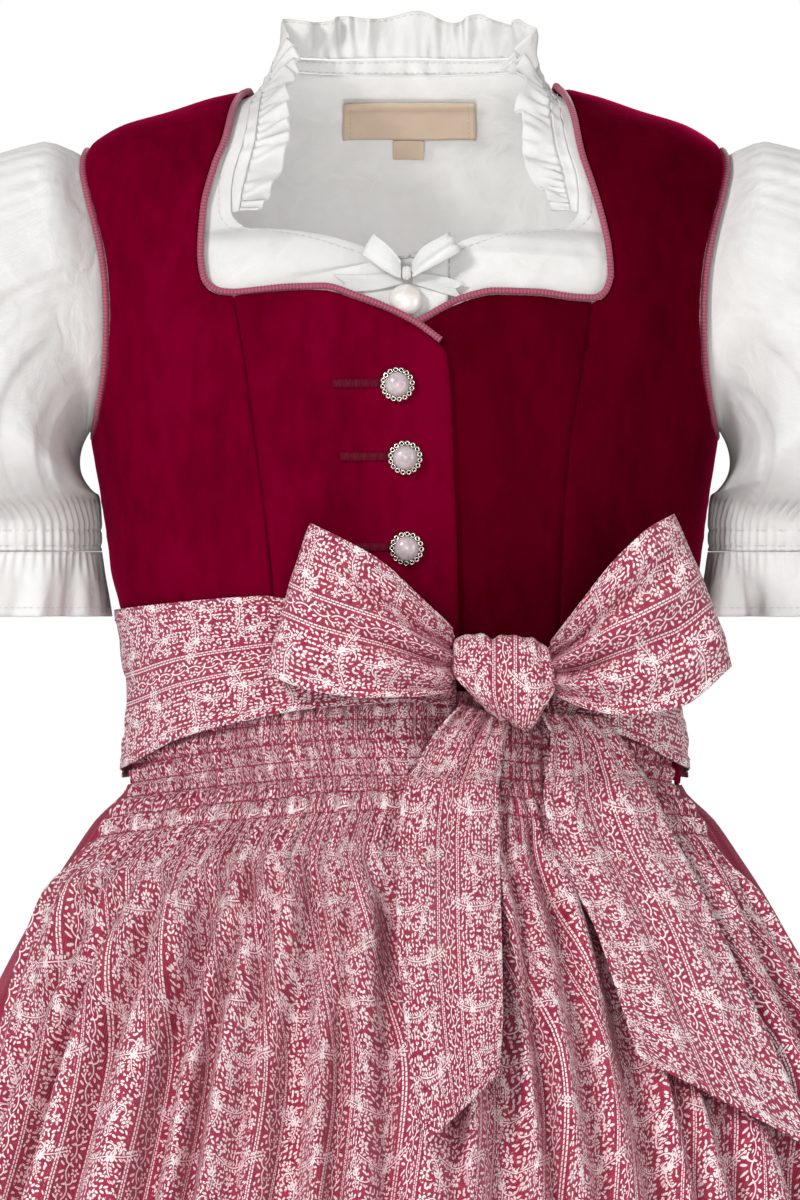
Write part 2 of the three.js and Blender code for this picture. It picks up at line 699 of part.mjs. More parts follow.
// A row along the collar at a share of its height, with waves that grow towards the free edge
function collarRow(share, count, wave) {
  return steps(count).map((t) => {
    const seam = seamCurve.getPoint(t);
    const edge = edgeCurve.getPoint(t);
    const face = seamCurve.getTangent(t).cross(edge.clone().sub(seam)).normalize();
    const height = edge.distanceTo(seam);
    const p = seam.lerp(edge, Math.max(share, SEAM / height));
    return p.addScaledVector(face, wave * Math.sin(2 * Math.PI * RUFFLE.waves * t));
  });
}
const BAND_COLUMNS = 28;
add(
  "collar_band",
  cloth([collarRow(0, BAND_COLUMNS, 0), collarRow(BAND_SHARE, BAND_COLUMNS, 0)], COTTON),
  "cotton",
);
const ruffleRows = RUFFLE_ROWS.map((row) => collarRow(row.share, RUFFLE.waves * RUFFLE.perWave, row.wave));
add("collar_ruffle", cloth(ruffleRows, COTTON), "cotton");

// --- Labels inside the back of the neck --------------------------------------------------------------------------

const LABELS = table("name left right top bottom", [
  ["neck_label", -23.4, 27, -1, -14.3],
  ["size_tab", -4.3, 7.2, -14.6, -22],
]);
const LABEL_COLUMNS = 6;
const LABEL_GAP = 0.5; // between the blouse and a label
for (const { name, left, right, top, bottom } of LABELS) {
  const rows = [bottom, top].map((z) => steps(LABEL_COLUMNS).map((t) => onFace(BACK, lerp(left, right, t), z)));
  add(name, panel(rows, LABEL, () => BLOUSE - COTTON - LABEL_GAP), "label");
}

// --- Sleeves -------------------------------------------------------------------------------------------------------

// Rings fan out round a pivot below the underarm, from the upright armhole to the level cuff: the turn, how far
// the ring is let down, its nearest and farthest points from the pivot, its half depth and its gathers.
const SLEEVE_PIVOT = { x: 113, z: -150 };
const SLEEVE = table("turn drop inner outer depth gather", [
  [8, 0, 23, 133, 44, 1.2],
  [22, 0, 20, 132.5, 53, 2.4],
  [38, 0, 15.5, 129, 60, 2.8],
  [55, 0, 10.5, 119.5, 62, 2.8],
  [72, 0, 6.5, 105, 57, 2.6],
  [90, 3, 2.4, 82, 44, 1.5],
  [90, 12, 1, 69, 34.5, 0.5],
  [90, 21, 1, 69, 34, 0.4],
]);
const SLEEVE_COLUMNS = 28;
const SLEEVE_FOLDS = 7;
const SLEEVE_INSET = ARMHOLE_INSET + 0.6;
const SLEEVE_FOOT = table("distance", [[BLOUSE + SEAM], [1.5]]);
function sleeveRings(side) {
  const whole = (point) => {
    const ring = steps(SLEEVE_COLUMNS).map(point);
    ring[SLEEVE_COLUMNS] = ring[0];
    return ring;
  };
  const foot = SLEEVE_FOOT.map(({ distance }) =>
    whole((t) => {
      const degrees = 360 * Math.min(t, 1 - t);
      const p = armhole(side, degrees, t < 0.5 ? FRONT : BACK, SLEEVE_INSET);
      if (degrees % 180 === 0) p.y = 0;
      return out(p, distance);
    }),
  );
  const fan = SLEEVE.map((row) =>
    whole((t) => {
      const turn = 2 * Math.PI * t;
      const gathered = row.gather * (0.5 + 0.5 * Math.cos(SLEEVE_FOLDS * turn));
      const reach = (row.inner + row.outer) / 2 + ((row.outer - row.inner) / 2 - gathered) * Math.cos(turn);
      return vector(
        side * (SLEEVE_PIVOT.x + reach * Math.sin(radians(row.turn))),
        -(row.depth - gathered) * Math.sin(turn),
        SLEEVE_PIVOT.z + reach * Math.cos(radians(row.turn)) - row.drop,
      );
    }),
  );
  return [...foot, ...fan];
}
const FRILL = { columns: 40, waves: 10 };
const FRILL_ROWS = table("drop centre radius wave", [
  [21 + SEAM, 148, 34, 0.3],
  [33, 150, 38, 1.7],
  [45, 152.5, 42.5, 2.8],
]);
for (const side of [RIGHT, LEFT]) {
  add(`sleeve_${named(side)}`, cloth(sided(sleeveRings(side), side), COTTON, true), "cotton");
  const frill = FRILL_ROWS.map((row) => {
    const ring = steps(FRILL.columns).map((t) => {
      const turn = 2 * Math.PI * t;
      const radius = row.radius + row.wave * Math.sin(FRILL.waves * turn);
      const z = SLEEVE_PIVOT.z - row.drop;
      return vector(side * (row.centre + radius * Math.cos(turn)), -radius * Math.sin(turn), z);
    });
    ring[FRILL.columns] = ring[0];
    return ring;
  });
  add(`sleeve_frill_${named(side)}`, cloth(sided(frill, side), COTTON, true), "cotton");
}

// --- Skirt ---------------------------------------------------------------------------------------------------------

const SKIRT = { gathers: 22, perGather: 4 };
const SKIRT_ROWS = [WAIST, -270, -290, -350, -480, HEM];
// The gathers are uneven round the skirt: waves that move them along, and one that makes them deeper and flatter
const WANDER = table("waves amount start", [
  [3, 0.9, 0.8],
  [7, 0.6, 0],
]);
const VARY = { waves: 5, amount: 0.2, start: 0.7 };
// How far into a gather the cloth lies at a turn: 0 on a crest, 1 at most
function gathering(turn) {
  const swing = (wave) => wave.amount * Math.sin(wave.waves * turn + wave.start);
  const phase = WANDER.reduce((sum, wave) => sum + swing(wave), SKIRT.gathers * turn);
  return (1 - VARY.amount + swing(VARY)) * (0.5 - 0.5 * Math.cos(phase));
}
function skirtWall(from, to) {
  const columns = (SKIRT.gathers * SKIRT.perGather) / 2;
  const rows = SKIRT_ROWS.map((z) => {
    const seam = SEAM / 2 / Math.max(front(z), back(z));
    return steps(columns).map((t) => {
      const turn = lerp(from + seam, to - seam, t);
      return out(around(turn, z), -fold(z) * gathering(turn));
    });
  });
  return cloth(turned(rows), SATIN);
}
add("skirt_front", skirtWall(-Math.PI / 2, Math.PI / 2), "satin");
add("skirt_back", skirtWall(Math.PI / 2, (3 * Math.PI) / 2), "satin");

// --- Apron ---------------------------------------------------------------------------------------------------------

// How far round the apron reaches, as a share of the skirt's half width on each side, and how far its folds
// stand out
const APRON = table("z right left room", [
  [-238, 0.975, 0.955, 0],
  [-270, 0.93, 0.915, 0.8],
  [-283, 0.93, 0.9, 2.2],
  [-298, 0.905, 0.89, 4],
  [-320, 0.88, 0.9, 6.5],
  [-360, 0.845, 0.915, 9],
  [-430, 0.83, 0.88, 11],
  [-604, 0.8, 0.85, 13],
]);
const APRON_CLEAR = 0.8; // between the skirt's crests and the apron's plain inside
const apronRoom = smooth(APRON, "z", "room");
const apronReach = { right: smooth(APRON, "z", "right"), left: smooth(APRON, "z", "left") };
const turnAt = (side, z) => side * Math.asin(apronReach[named(side)](z) ** (power(z) / 2));
// Smocking: nine rows, every other one stitched down, drooping towards the sides
const SMOCK = { top: -239.5, pitch: 3.5, rows: 9, droop: 11, rib: 1.6, stitched: 0.35, ribs: 56 };
const APRON_COLUMNS = 40;
const PANEL_ROWS = [-277, -290, -315, -360, -430, -510, -604];
// Valleys between the folds: where they lie (degrees from the centre front), half width and depth
const VALLEYS = table("turn width depth", [
  [-49, 3, 0.7],
  [-38, 2.6, 0.6],
  [-27, 2.8, 0.85],
  [-18.5, 2.2, 0.5],
  [-11.7, 3, 1],
  [-4, 2.2, 0.45],
  [2, 2, 0.4],
  [9.5, 3, 1],
  [17, 2.2, 0.5],
  [26, 3, 0.75],
  [35, 2.4, 0.55],
  [44, 3, 0.8],
  [54, 2.6, 0.6],
]);
function standing(turn) {
  const degrees = THREE.MathUtils.radToDeg(turn);
  return 1 - Math.max(...VALLEYS.map((v) => v.depth * Math.exp(-(((degrees - v.turn) / v.width) ** 2))));
}
const LAP_FADE = 25; // the lap under the skirt's waist stops showing this far below it
const lapUnder = (p) => lapRaiseOver(p.x) * ramp(p.z, WAIST - LAP_FADE, WAIST);
const DROOP_END = -430; // below this the rows are level
function apronRow(height, count, distance) {
  const ends = [RIGHT, LEFT].map((side) => turnAt(side, height));
  return steps(count).map((t) => {
    const turn = lerp(...ends, t);
    const droop = SMOCK.droop * ramp(height, DROOP_END, SMOCK.top - SMOCK.pitch * SMOCK.rows);
    const p = around(turn, height - droop * Math.sin(turn) ** 2);
    return out(p, lapUnder(p) + APRON_CLEAR + distance(t * count, turn));
  });
}
const smocking = steps(SMOCK.rows - 1).map((_, i) => {
  const swell = SMOCK.rib * (i % 2 === 0 ? SMOCK.stitched : 1);
  const raised = (column) => (Math.round(column) % 2 ? swell : 0);
  return apronRow(SMOCK.top - SMOCK.pitch * i, 2 * SMOCK.ribs, (column) => JACQUARD + raised(column));
});
const apronFolds = (depth) =>
  PANEL_ROWS.map((z) => apronRow(z, APRON_COLUMNS, (_, turn) => apronRoom(z) * standing(turn) + depth));
const smockInside = [0, SMOCK.rows - 1].map((i) => apronRow(SMOCK.top - SMOCK.pitch * i, APRON_COLUMNS, () => 0));
add("apron", wall([...smocking, ...apronFolds(JACQUARD)], [...smockInside, ...apronFolds(0)]), "jacquard");

// --- Sash ----------------------------------------------------------------------------------------------------------

// Edges of the band round the waist and its soft creases: a row across the band, and how far it stands out
const SASH = { top: -186, topDroop: 6, bottom: -238, bottomDroop: 20, backBottom: -252, clear: 0.5, overSmock: 3.3 };
// The sash stands out over the smocking from the first share of its height to the second, and within the apron's
// reach, as shares of the half width
const SMOCK_SLOPES = { none: 0.3, full: 0.85, outside: 1, inside: 0.975 };
const SASH_CREASES = table("share out", [
  [0, 0.3],
  [0.22, 1.5],
  [0.46, 0.5],
  [0.7, 1.4],
  [1, 0.4],
]);
function sashWall(from, to, columns) {
  const rows = SASH_CREASES.map((crease) =>
    steps(columns).map((t) => {
      const turn = lerp(radians(from), radians(to), t);
      const side = Math.sin(turn) ** 2;
      const bottom = Math.cos(turn) > 0 ? SASH.bottom : SASH.backBottom;
      const low = lerp(bottom, SASH.bottom - SASH.bottomDroop, side);
      return around(turn, lerp(SASH.top - SASH.topDroop * side, low, crease.share));
    }),
  );
  const beneath = (p, share) => {
    const reach = Math.abs(p.x) / half(p.z);
    const overApron = p.y < 0 ? ramp(reach, SMOCK_SLOPES.outside, SMOCK_SLOPES.inside) : 0;
    const lower = ramp(share, SMOCK_SLOPES.none, SMOCK_SLOPES.full);
    return lapRaiseOver(p.x) + SASH.clear + SASH.overSmock * overApron * lower;
  };
  const face = (raised) =>
    rows.map((row, i) => row.map((p) => out(p, beneath(p, SASH_CREASES[i].share) + raised(SASH_CREASES[i]))));
  return wall(
    face((crease) => JACQUARD + crease.out),
    face((crease) => crease.out),
  );
}
// Pieces of the band, in degrees round from the centre front; the gap in front is behind the knot
const SASH_PIECES = table("name from to columns", [
  ["sash_right", -89.9, 8, 14],
  ["sash_left", 28, 89.9, 9],
  ["sash_back", 90.1, 269.9, 16],
]);
for (const { name, from, to, columns } of SASH_PIECES) add(name, sashWall(from, to, columns), "jacquard");

// --- Bow -----------------------------------------------------------------------------------------------------------

const rowVector = (row, end) => vector(row[end + "X"], 0, row[end + "Z"]);
// A band folded into a loop: out along its front, round the end and back along its rear. The table gives the
// band's upper and lower edges and how far forward the two layers lie, from the knot outwards.
const LOOP_STEPS = 3; // across the band
const LOOP_END = 0.16; // how far the rounded end passes the last row, as a share of the row before it
function bandLoop(rows, thickness, side) {
  const layer = (row, y) =>
    steps(LOOP_STEPS).map((t) => rowVector(row, "top").lerp(rowVector(row, "bottom"), t).setY(y));
  const last = rows.at(-1);
  const beyond = (share) => {
    const before = rows.at(-2);
    return Object.fromEntries(Object.keys(last).map((key) => [key, last[key] + (last[key] - before[key]) * share]));
  };
  const middle = (last.front + last.rear) / 2;
  const layers = [
    ...rows.map((row) => layer(row, row.front)),
    layer(beyond(LOOP_END), middle),
    ...[...rows].reverse().map((row) => layer(row, row.rear)),
  ];
  return cloth(sided(layers, side), thickness);
}
const BOW_LOOPS = {
  right: table("topX topZ bottomX bottomZ front rear", [
    [17.4, -199, 17.4, -222.5, -91.8, -85.8],
    [7, -189, 5, -224, -96.8, -82.8],
    [-9, -174.5, -14, -224.5, -99.8, -80.8],
    [-24, -166, -34, -222, -96.8, -80.8],
    [-33, -161.7, -48, -217, -89.8, -78.8],
  ]),
  left: table("topX topZ bottomX bottomZ front rear", [
    [52.8, -204, 52.8, -223, -91.8, -85.8],
    [63.4, -190.4, 66, -228.6, -96.8, -82.8],
    [76, -174.5, 80, -231, -98.8, -78.8],
    [90, -162, 101, -227.5, -92.8, -73.8],
    [97, -158.2, 117, -215, -84.8, -70.8],
  ]),
};
for (const side of [RIGHT, LEFT]) {
  add(`bow_loop_${named(side)}`, bandLoop(BOW_LOOPS[named(side)], JACQUARD, side), "jacquard");
}
// The knot: a rolled bundle of the band, thickest in the middle
const KNOT = table("x z rise depth", [
  [18, -210.5, 8, 4],
  [22, -212, 13, 6.5],
  [29, -214, 17, 8.2],
  [38, -216, 18, 8.5],
  [46, -215, 14, 7],
  [52.2, -213.5, 8, 4],
]);
const KNOT_MIDDLE = -90.8;
const KNOT_SIDES = 10;
const lump = (rows, y, sides) =>
  capped(
    rows.map((row) => {
      const ring = steps(sides).map((t) => {
        const turn = 2 * Math.PI * t;
        return vector(row.x, y + row.depth * Math.cos(turn), row.z + row.rise * Math.sin(turn));
      });
      ring[sides] = ring[0];
      return ring;
    }),
  );
add("bow_knot", lump(KNOT, KNOT_MIDDLE, KNOT_SIDES), "jacquard");

// The tails hang over the sash and the apron: their two edges from the knot down, and how far each height
// stands off the figure.
const TAIL_OFF = smooth(
  table("z off", [
    [-226, 11.2],
    [-240, 10.6],
    [-252, 8.2],
    [-266, 7],
    [-280, 6.2],
    [-300, 8.2],
    [-340, 12],
    [-400, 14.6],
  ]),
  "z",
  "off",
);
const TAILS = {
  right: table("rightX rightZ leftX leftZ", [
    [19.6, -226.5, 36, -233],
    [9.4, -241, 34, -245],
    [1, -260, 33, -262],
    [-3, -285, 33, -284],
    [-3, -315, 33, -312],
    [0, -350, 33, -345],
    [6.8, -392.8, 32, -367.2],
  ]),
  left: table("rightX rightZ leftX leftZ", [
    [46, -230, 67, -232],
    [49.7, -242, 76, -244],
    [48.6, -264, 86.4, -263.5],
    [54, -290, 96, -289],
    [64.3, -315.4, 107, -319],
    [70.6, -337.7, 118.5, -350],
    [78, -361.8, 138.2, -396.7],
  ]),
};
const TAIL_STEPS = 4;
for (const side of [RIGHT, LEFT]) {
  const rows = TAILS[named(side)].map((row) =>
    steps(TAIL_STEPS).map((t) => {
      const p = rowVector(row, "right").lerp(rowVector(row, "left"), t);
      return onFace(FRONT, p.x, p.z);
    }),
  );
  add(`bow_tail_${named(side)}`, panel(rows, JACQUARD, (p) => lapUnder(p) + TAIL_OFF(p.z)), "jacquard");
}

// --- Pearl button and ribbon bow on the blouse -------------------------------------------------------------------

const BLOUSE_BUTTON = { x: 0.4, z: -79.3 };
const SHANK_PEARL = table("radius height", [
  [0, 0],
  [3.5, 0],
  [5.6, 1.4],
  [6, 2.6],
  [5.4, 4],
  [3.6, 5.4],
  [1.8, 6],
  [0, 6.2],
]);
seat(add("blouse_button", lathe(SHANK_PEARL, 14), "pearl"), BLOUSE_BUTTON.x, BLOUSE_BUTTON.z, BLOUSE + SEAM);
const RIBBON_LOOPS = {
  right: table("topX topZ bottomX bottomZ front rear", [
    [-1.4, -67.6, -1.4, -71.6, -70.3, -67.7],
    [-5, -64.4, -5, -70.4, -71.5, -66.9],
    [-10.4, -58.8, -13.2, -63.4, -70.9, -66.3],
  ]),
  left: table("topX topZ bottomX bottomZ front rear", [
    [2.6, -67.6, 2.6, -71.6, -70.3, -67.7],
    [6, -64.4, 6.6, -70, -71.5, -66.9],
    [14.2, -58.8, 17.4, -62.8, -70.9, -66.3],
  ]),
};
const RIBBON_KNOT = table("x z rise depth", [
  [-1, -69.6, 2, 1.2],
  [0.6, -69.7, 2.6, 1.7],
  [2.2, -69.6, 2, 1.2],
]);
const RIBBON_TAILS = {
  right: table("rightX rightZ leftX leftZ", [
    [-1.6, -69.6, -0.6, -73.2],
    [-14, -69.5, -13, -75.6],
    [-26.3, -69.8, -24.1, -76.7],
  ]),
  left: table("rightX rightZ leftX leftZ", [
    [2.4, -73, 3, -69],
    [11, -75.6, 12, -69.8],
    [20.9, -78.5, 22.3, -73.1],
  ]),
};
for (const side of [RIGHT, LEFT]) {
  add(`ribbon_loop_${named(side)}`, bandLoop(RIBBON_LOOPS[named(side)], RIBBON, side), "ribbon");
  const rows = RIBBON_TAILS[named(side)].map((row) =>
    steps(2).map((t) => {
      const p = rowVector(row, "right").lerp(rowVector(row, "left"), t);
      return onFace(FRONT, p.x, p.z);
    }),
  );
  add(`ribbon_tail_${named(side)}`, panel(rows, RIBBON, () => BLOUSE + SEAM + RIBBON), "ribbon");
}
const RIBBON_KNOT_MIDDLE = -69.6;
const RIBBON_KNOT_SIDES = 8;
add("ribbon_knot", lump(RIBBON_KNOT, RIBBON_KNOT_MIDDLE, RIBBON_KNOT_SIDES), "ribbon");

export default dirndl;
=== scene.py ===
"""A child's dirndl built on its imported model: velvet bodice, blouse, gathered skirt and a smocked apron.

Lengths in the tables are millimetres in the row's frame: +Z up, the front faces -Y, +X is the wearer's left.
"""

import math

import bmesh
import bpy
import numpy as np
from bpy.props import FloatProperty, FloatVectorProperty, IntProperty, PointerProperty
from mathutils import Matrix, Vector


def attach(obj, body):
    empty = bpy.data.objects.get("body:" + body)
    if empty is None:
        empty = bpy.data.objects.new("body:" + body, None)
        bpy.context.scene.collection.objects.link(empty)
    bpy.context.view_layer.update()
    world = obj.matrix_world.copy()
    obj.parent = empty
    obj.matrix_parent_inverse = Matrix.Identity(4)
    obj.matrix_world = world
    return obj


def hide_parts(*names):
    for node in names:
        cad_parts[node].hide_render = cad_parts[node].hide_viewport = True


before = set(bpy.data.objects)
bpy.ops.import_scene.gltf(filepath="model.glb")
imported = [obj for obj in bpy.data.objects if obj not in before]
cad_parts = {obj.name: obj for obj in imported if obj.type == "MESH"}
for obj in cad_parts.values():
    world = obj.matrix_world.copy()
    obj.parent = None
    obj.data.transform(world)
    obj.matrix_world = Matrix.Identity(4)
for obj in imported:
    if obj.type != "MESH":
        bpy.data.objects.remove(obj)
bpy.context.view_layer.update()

bl_info = {
    "name": "Dirndl",
    "version": (1, 0, 0),
    "blender": (4, 5, 0),
    "location": "View3D > Sidebar > Dirndl",
    "description": "Dresses the packed solids of a child's dirndl in velvet, cotton and jacquard",
    "category": "Object",
}

MM = 0.001
FRONT, BACK = -1, 1
RIGHT, LEFT = -1, 1  # the wearer's, along X
SEAM = 0.3  # open gap between pieces that are sewn together
VELVET = 2.0  # thickness of the bodice wall
COTTON = 1.0
VELVET_WALL = 1.5  # drawn thickness of each cloth
BLOUSE_WALL = 0.7
FRILL_WALL = 0.6
BAND_WALL = 0.8
SKIRT_WALL = 0.8
JACQUARD_WALL = 0.7
LOOP_WALL = 0.8
RIBBON_WALL = 0.35
RIBBON = 1.0


# --- Numbers ------------------------------------------------------------------------------------------


def table(names, *rows):
    """Rows of numbers become rows of named columns"""
    columns = names.split()
    return [dict(zip(columns, row)) for row in rows]


def column(rows, name):
    return np.array([row[name] for row in rows], float)


def through(x, y):
    """A smooth curve through the values y at x, with no overshoot between them"""
    order = np.argsort(x)
    x = np.asarray(x, float)[order]
    y = np.asarray(y, float)[order]
    flat = (-1,) + (1,) * (y.ndim - 1)
    rise = np.diff(y, axis=0) / np.diff(x).reshape(flat)
    both = rise[:-1] * rise[1:]
    total = rise[:-1] + rise[1:]
    middle = np.where(both > 0, 2 * both / np.where(total == 0, 1, total), 0)
    slope = np.concatenate([rise[:1], middle, rise[-1:]])

    def at(value):
        value = np.clip(value, x[0], x[-1])
        i = np.clip(np.searchsorted(x, value, side="right") - 1, 0, len(x) - 2)
        span = x[i + 1] - x[i]
        t = (value - x[i]) / span
        if y.ndim > 1:
            span, t = span[..., None], t[..., None]
        rest = 1 - t
        near = y[i] * (1 + 2 * t) + slope[i] * span * t
        far = y[i + 1] * (1 + 2 * rest) - slope[i + 1] * span * rest
        return near * rest**2 + far * t**2

    return at


def smooth(rows, over, name):
    return through(column(rows, over), column(rows, name))


def ramp(value, start, end):
    """0 below the start, 1 above the end, smooth between"""
    t = np.clip((np.asarray(value, float) - start) / (end - start), 0, 1)
    return t * t * (3 - 2 * t)


def lerp(a, b, t):
    return a + (b - a) * t


def shares(count):
    return np.linspace(0, 1, count + 1)


def point(x, y, z):
    return np.stack(np.broadcast_arrays(x, y, z), -1).astype(float)


def pair(a, b):
    return np.stack(np.broadcast_arrays(a, b), -1).astype(float)


def unit(v):
    return v / np.maximum(np.linalg.norm(v, axis=-1, keepdims=True), 1e-9)


def along(points):
    """Length of the way along a row of points, from 0"""
    steps = np.linalg.norm(np.diff(points, axis=-2), axis=-1)
    start = np.zeros(steps.shape[:-1] + (1,))
    return np.concatenate([start, np.cumsum(steps, axis=-1)], -1)


def line(points, spacing):
    """A smooth line through points, resampled at about that spacing"""
    points = np.asarray(points, float)
    way = along(points)
    count = max(2, int(round(way[-1] / spacing)))
    return through(way, points)(way[-1] * shares(count))


# --- The figure as a surface, with the skirt's crests below the waist ---------------------------------

WAIST, HEM = -257, -657
OUTLINE = table(
    "z half front back power fold",
    (30, 46, 24, 30, 2.3, 0),
    (10, 53, 27, 36, 2.3, 0),
    (0, 57.6, 30, 38, 2.3, 0),
    (-4, 73, 34, 42, 2.3, 0),
    (-9, 88, 38, 46, 2.3, 0),
    (-14, 104, 42.5, 50, 2.3, 0),
    (-18, 111.5, 45.8, 53.5, 2.3, 0),
    (-22, 117.3, 48.4, 56.5, 2.3, 0),
    (-27, 121, 51.3, 59.4, 2.3, 0),
    (-34, 123.4, 55, 63, 2.3, 0),
    (-46, 124.5, 60.5, 68, 2.3, 0),
    (-80, 124, 71.5, 79, 2.3, 0),
    (-110, 120, 77, 81, 2.3, 0),
    (-131, 115.5, 77, 79, 2.3, 0),
    (-165, 110, 74.5, 73, 2.3, 0),
    (-180, 108, 73.5, 70, 2.3, 0),
    (-192, 104.6, 72.5, 68.5, 2.3, 0),
    (-209, 101.3, 72, 67, 2.3, 0),
    (-228, 99.8, 72, 66.5, 2.3, 0),
    (-245, 100.6, 73.5, 67.5, 2.3, 0),
    (WAIST, 102.4, 75.5, 69.5, 2.3, 1),
    (-270, 114.5, 85.5, 79.5, 2.28, 2.6),
    (-283, 123.8, 94.5, 89, 2.26, 4),
    (-298, 134, 104.5, 99.5, 2.24, 5.5),
    (-320, 147, 118, 114, 2.22, 7),
    (-360, 168, 138, 136, 2.2, 8.5),
    (-430, 199, 166, 167, 2.15, 10.5),
    (-540, 243, 203, 206, 2.1, 13),
    (HEM, 285, 234, 238, 2.05, 15),
)
half = smooth(OUTLINE, "z", "half")
front = smooth(OUTLINE, "z", "front")
back = smooth(OUTLINE, "z", "back")
power = smooth(OUTLINE, "z", "power")
fold = smooth(OUTLINE, "z", "fold")


def depth(z, side):
    return np.where(np.asarray(side) == FRONT, front(z), back(z))


def arch(reach, share, n):
    return reach * np.maximum(0, 1 - np.minimum(1, np.abs(share)) ** n) ** (1 / n)


def on_face(side, x, z):
    """The point in front or behind at a distance from the centre"""
    x, z = np.broadcast_arrays(np.asarray(x, float), np.asarray(z, float))
    return point(x, side * arch(depth(z, side), x / half(z), power(z)), z)


def on_flank(side, y, z):
    """The point at the side at a depth"""
    y, z = np.broadcast_arrays(np.asarray(y, float), np.asarray(z, float))
    face = np.where(y > 0, BACK, FRONT)
    return point(side * arch(half(z), y / depth(z, face), power(z)), y, z)


def around(turn, z):
    """The point at a turn round the section: 0 is the centre front, a quarter turn the wearer's left"""
    turn, z = np.broadcast_arrays(np.asarray(turn, float), np.asarray(z, float))
    n = 2 / power(z)
    s, c = np.sin(turn), np.cos(turn)
    reach = depth(z, np.where(c > 0, FRONT, BACK))
    return point(half(z) * np.sign(s) * np.abs(s) ** n, -np.sign(c) * reach * np.abs(c) ** n, z)


def level(p):
    """How far outside the figure a point is, as a share of the section"""
    x, y, z = p[..., 0], p[..., 1], p[..., 2]
    n = power(z)
    reach = depth(z, np.where(y > 0, BACK, FRONT))
    return (np.abs(x / half(z)) ** n + np.abs(y / reach) ** n) ** (1 / n) - 1


def slope_of(p):
    h = 0.05
    steps = np.eye(3) * h
    return np.stack([(level(p + s) - level(p - s)) / (2 * h) for s in steps], -1)


def out(p, distance):
    """A point moved away from the figure"""
    return p + unit(slope_of(p)) * np.asarray(distance, float)[..., None]


def settle(p):
    """Moves points that are near the figure onto it"""
    for _ in range(8):
        slope = slope_of(p)
        p = p - slope * (level(p) / np.sum(slope**2, -1))[..., None]
    return p


def over_shoulder(x, y):
    """The point of the shoulder above a place on the plan"""
    x, y = np.broadcast_arrays(np.asarray(x, float), np.asarray(y, float))
    low, high = np.full(x.shape, -70.0), np.full(x.shape, 29.0)
    for _ in range(40):
        middle = (low + high) / 2
        inside = level(point(x, y, middle)) < 0
        low, high = np.where(inside, middle, low), np.where(inside, high, middle)
    return point(x, y, (low + high) / 2)


def span(ends, spacing, across):
    """A grid on the figure between two lines of ends, smooth along them: rows about spacing apart"""
    first = np.array([a for a, _ in ends])
    last = np.array([b for _, b in ends])
    way = (along(first) + along(last)) / 2
    rows = way[-1] * shares(max(2, int(round(way[-1] / spacing))))
    first, last = through(way, first)(rows), through(way, last)(rows)
    return settle(lerp(first[:, None], last[:, None], np.asarray(across)[None, :, None]))


# --- Meshes -------------------------------------------------------------------------------------------


def collect(parts):
    """Joins parts of (points, faces, flat places) into one; a face is four or three corners"""
    points, faces, flats, count = [], [], [], 0
    for p, f, uv in parts:
        points.append(np.asarray(p, float).reshape(-1, 3))
        if isinstance(f, np.ndarray):
            faces.extend((f + count).tolist())
        else:
            faces.extend((np.asarray(face) + count).tolist() for face in f)
        flats.extend(uv)
        count += len(points[-1])
    return np.concatenate(points), faces, flats


def make_object(name, parts, material):
    """A smooth mesh from parts in millimetres, with the cloth's flat places in the UV map named cut"""
    points, faces, flats = collect(parts)
    mesh = bpy.data.meshes.new(name)
    mesh.from_pydata((points * MM).tolist(), [], faces)
    flat = mesh.uv_layers.new(name="cut")
    places = np.concatenate([np.asarray(f, float).reshape(-1, 2) for f in flats])
    flat.data.foreach_set("uv", places.ravel() * MM)
    whole = bmesh.new()
    whole.from_mesh(mesh)
    bmesh.ops.recalc_face_normals(whole, faces=whole.faces)
    whole.to_mesh(mesh)
    whole.free()
    mesh.shade_smooth()
    mesh.materials.append(material)
    made = bpy.data.objects.new(name, mesh)
    bpy.context.scene.collection.objects.link(made)
    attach(made, "root")
    return made


def numbers(rows, columns, closed=False):
    """Numbers of a grid's points, and of its places on the flat cut, which doesn't close"""
    place = np.arange(rows * columns).reshape(rows, columns)
    knot = place.copy()
    if closed:
        knot[:, -1] = knot[:, 0]
    return knot, place


def quads(number):
    """The corners of each face of a grid"""
    return np.stack([number[:-1, :-1], number[:-1, 1:], number[1:, 1:], number[1:, :-1]], -1).reshape(-1, 4)


def wall_faces(number, behind, closed):
    """The corners of a wall's faces: its outer side, its inner one, and the strips along its edges"""
    edges = [(number[0], -1), (number[-1], 1)]
    if not closed:
        edges += [(number[:, 0], 1), (number[:, -1], -1)]
    faces = [quads(number), quads(number)[:, ::-1] + behind]
    for edge, order in edges:
        strip = np.stack([edge[:-1], edge[1:], edge[1:] + behind, edge[:-1] + behind], -1)
        faces.append(strip[:, ::order])
    return np.concatenate(faces)


def shell(outer, inner, flat, closed=False):
    """A closed wall of cloth between two grids of points; flat has each point's place on the cut"""
    knot, place = numbers(*outer.shape[:2], closed)
    points = np.concatenate([outer.reshape(-1, 3), inner.reshape(-1, 3)])
    uv = np.asarray(flat, float).reshape(-1, 2)[wall_faces(place, 0, closed)]
    return tidy(points, wall_faces(knot, knot.size, closed), uv)


def tidy(points, faces, uv):
    """Leaves out the points that no face uses"""
    used = np.unique(faces)
    number = np.zeros(len(points), int)
    number[used] = np.arange(len(used))
    return points[used], number[faces], uv


def normals(grid, closed=False):
    """Normals of a grid of points, facing where its rows and columns turn left to right"""
    if closed:
        ring = np.concatenate([grid[:, -2:-1], grid, grid[:, 1:2]], 1)
        across = ring[:, 2:] - ring[:, :-2]
    else:
        across = np.gradient(grid, axis=1)
    down = np.gradient(grid, axis=0)
    return unit(np.cross(across, down))


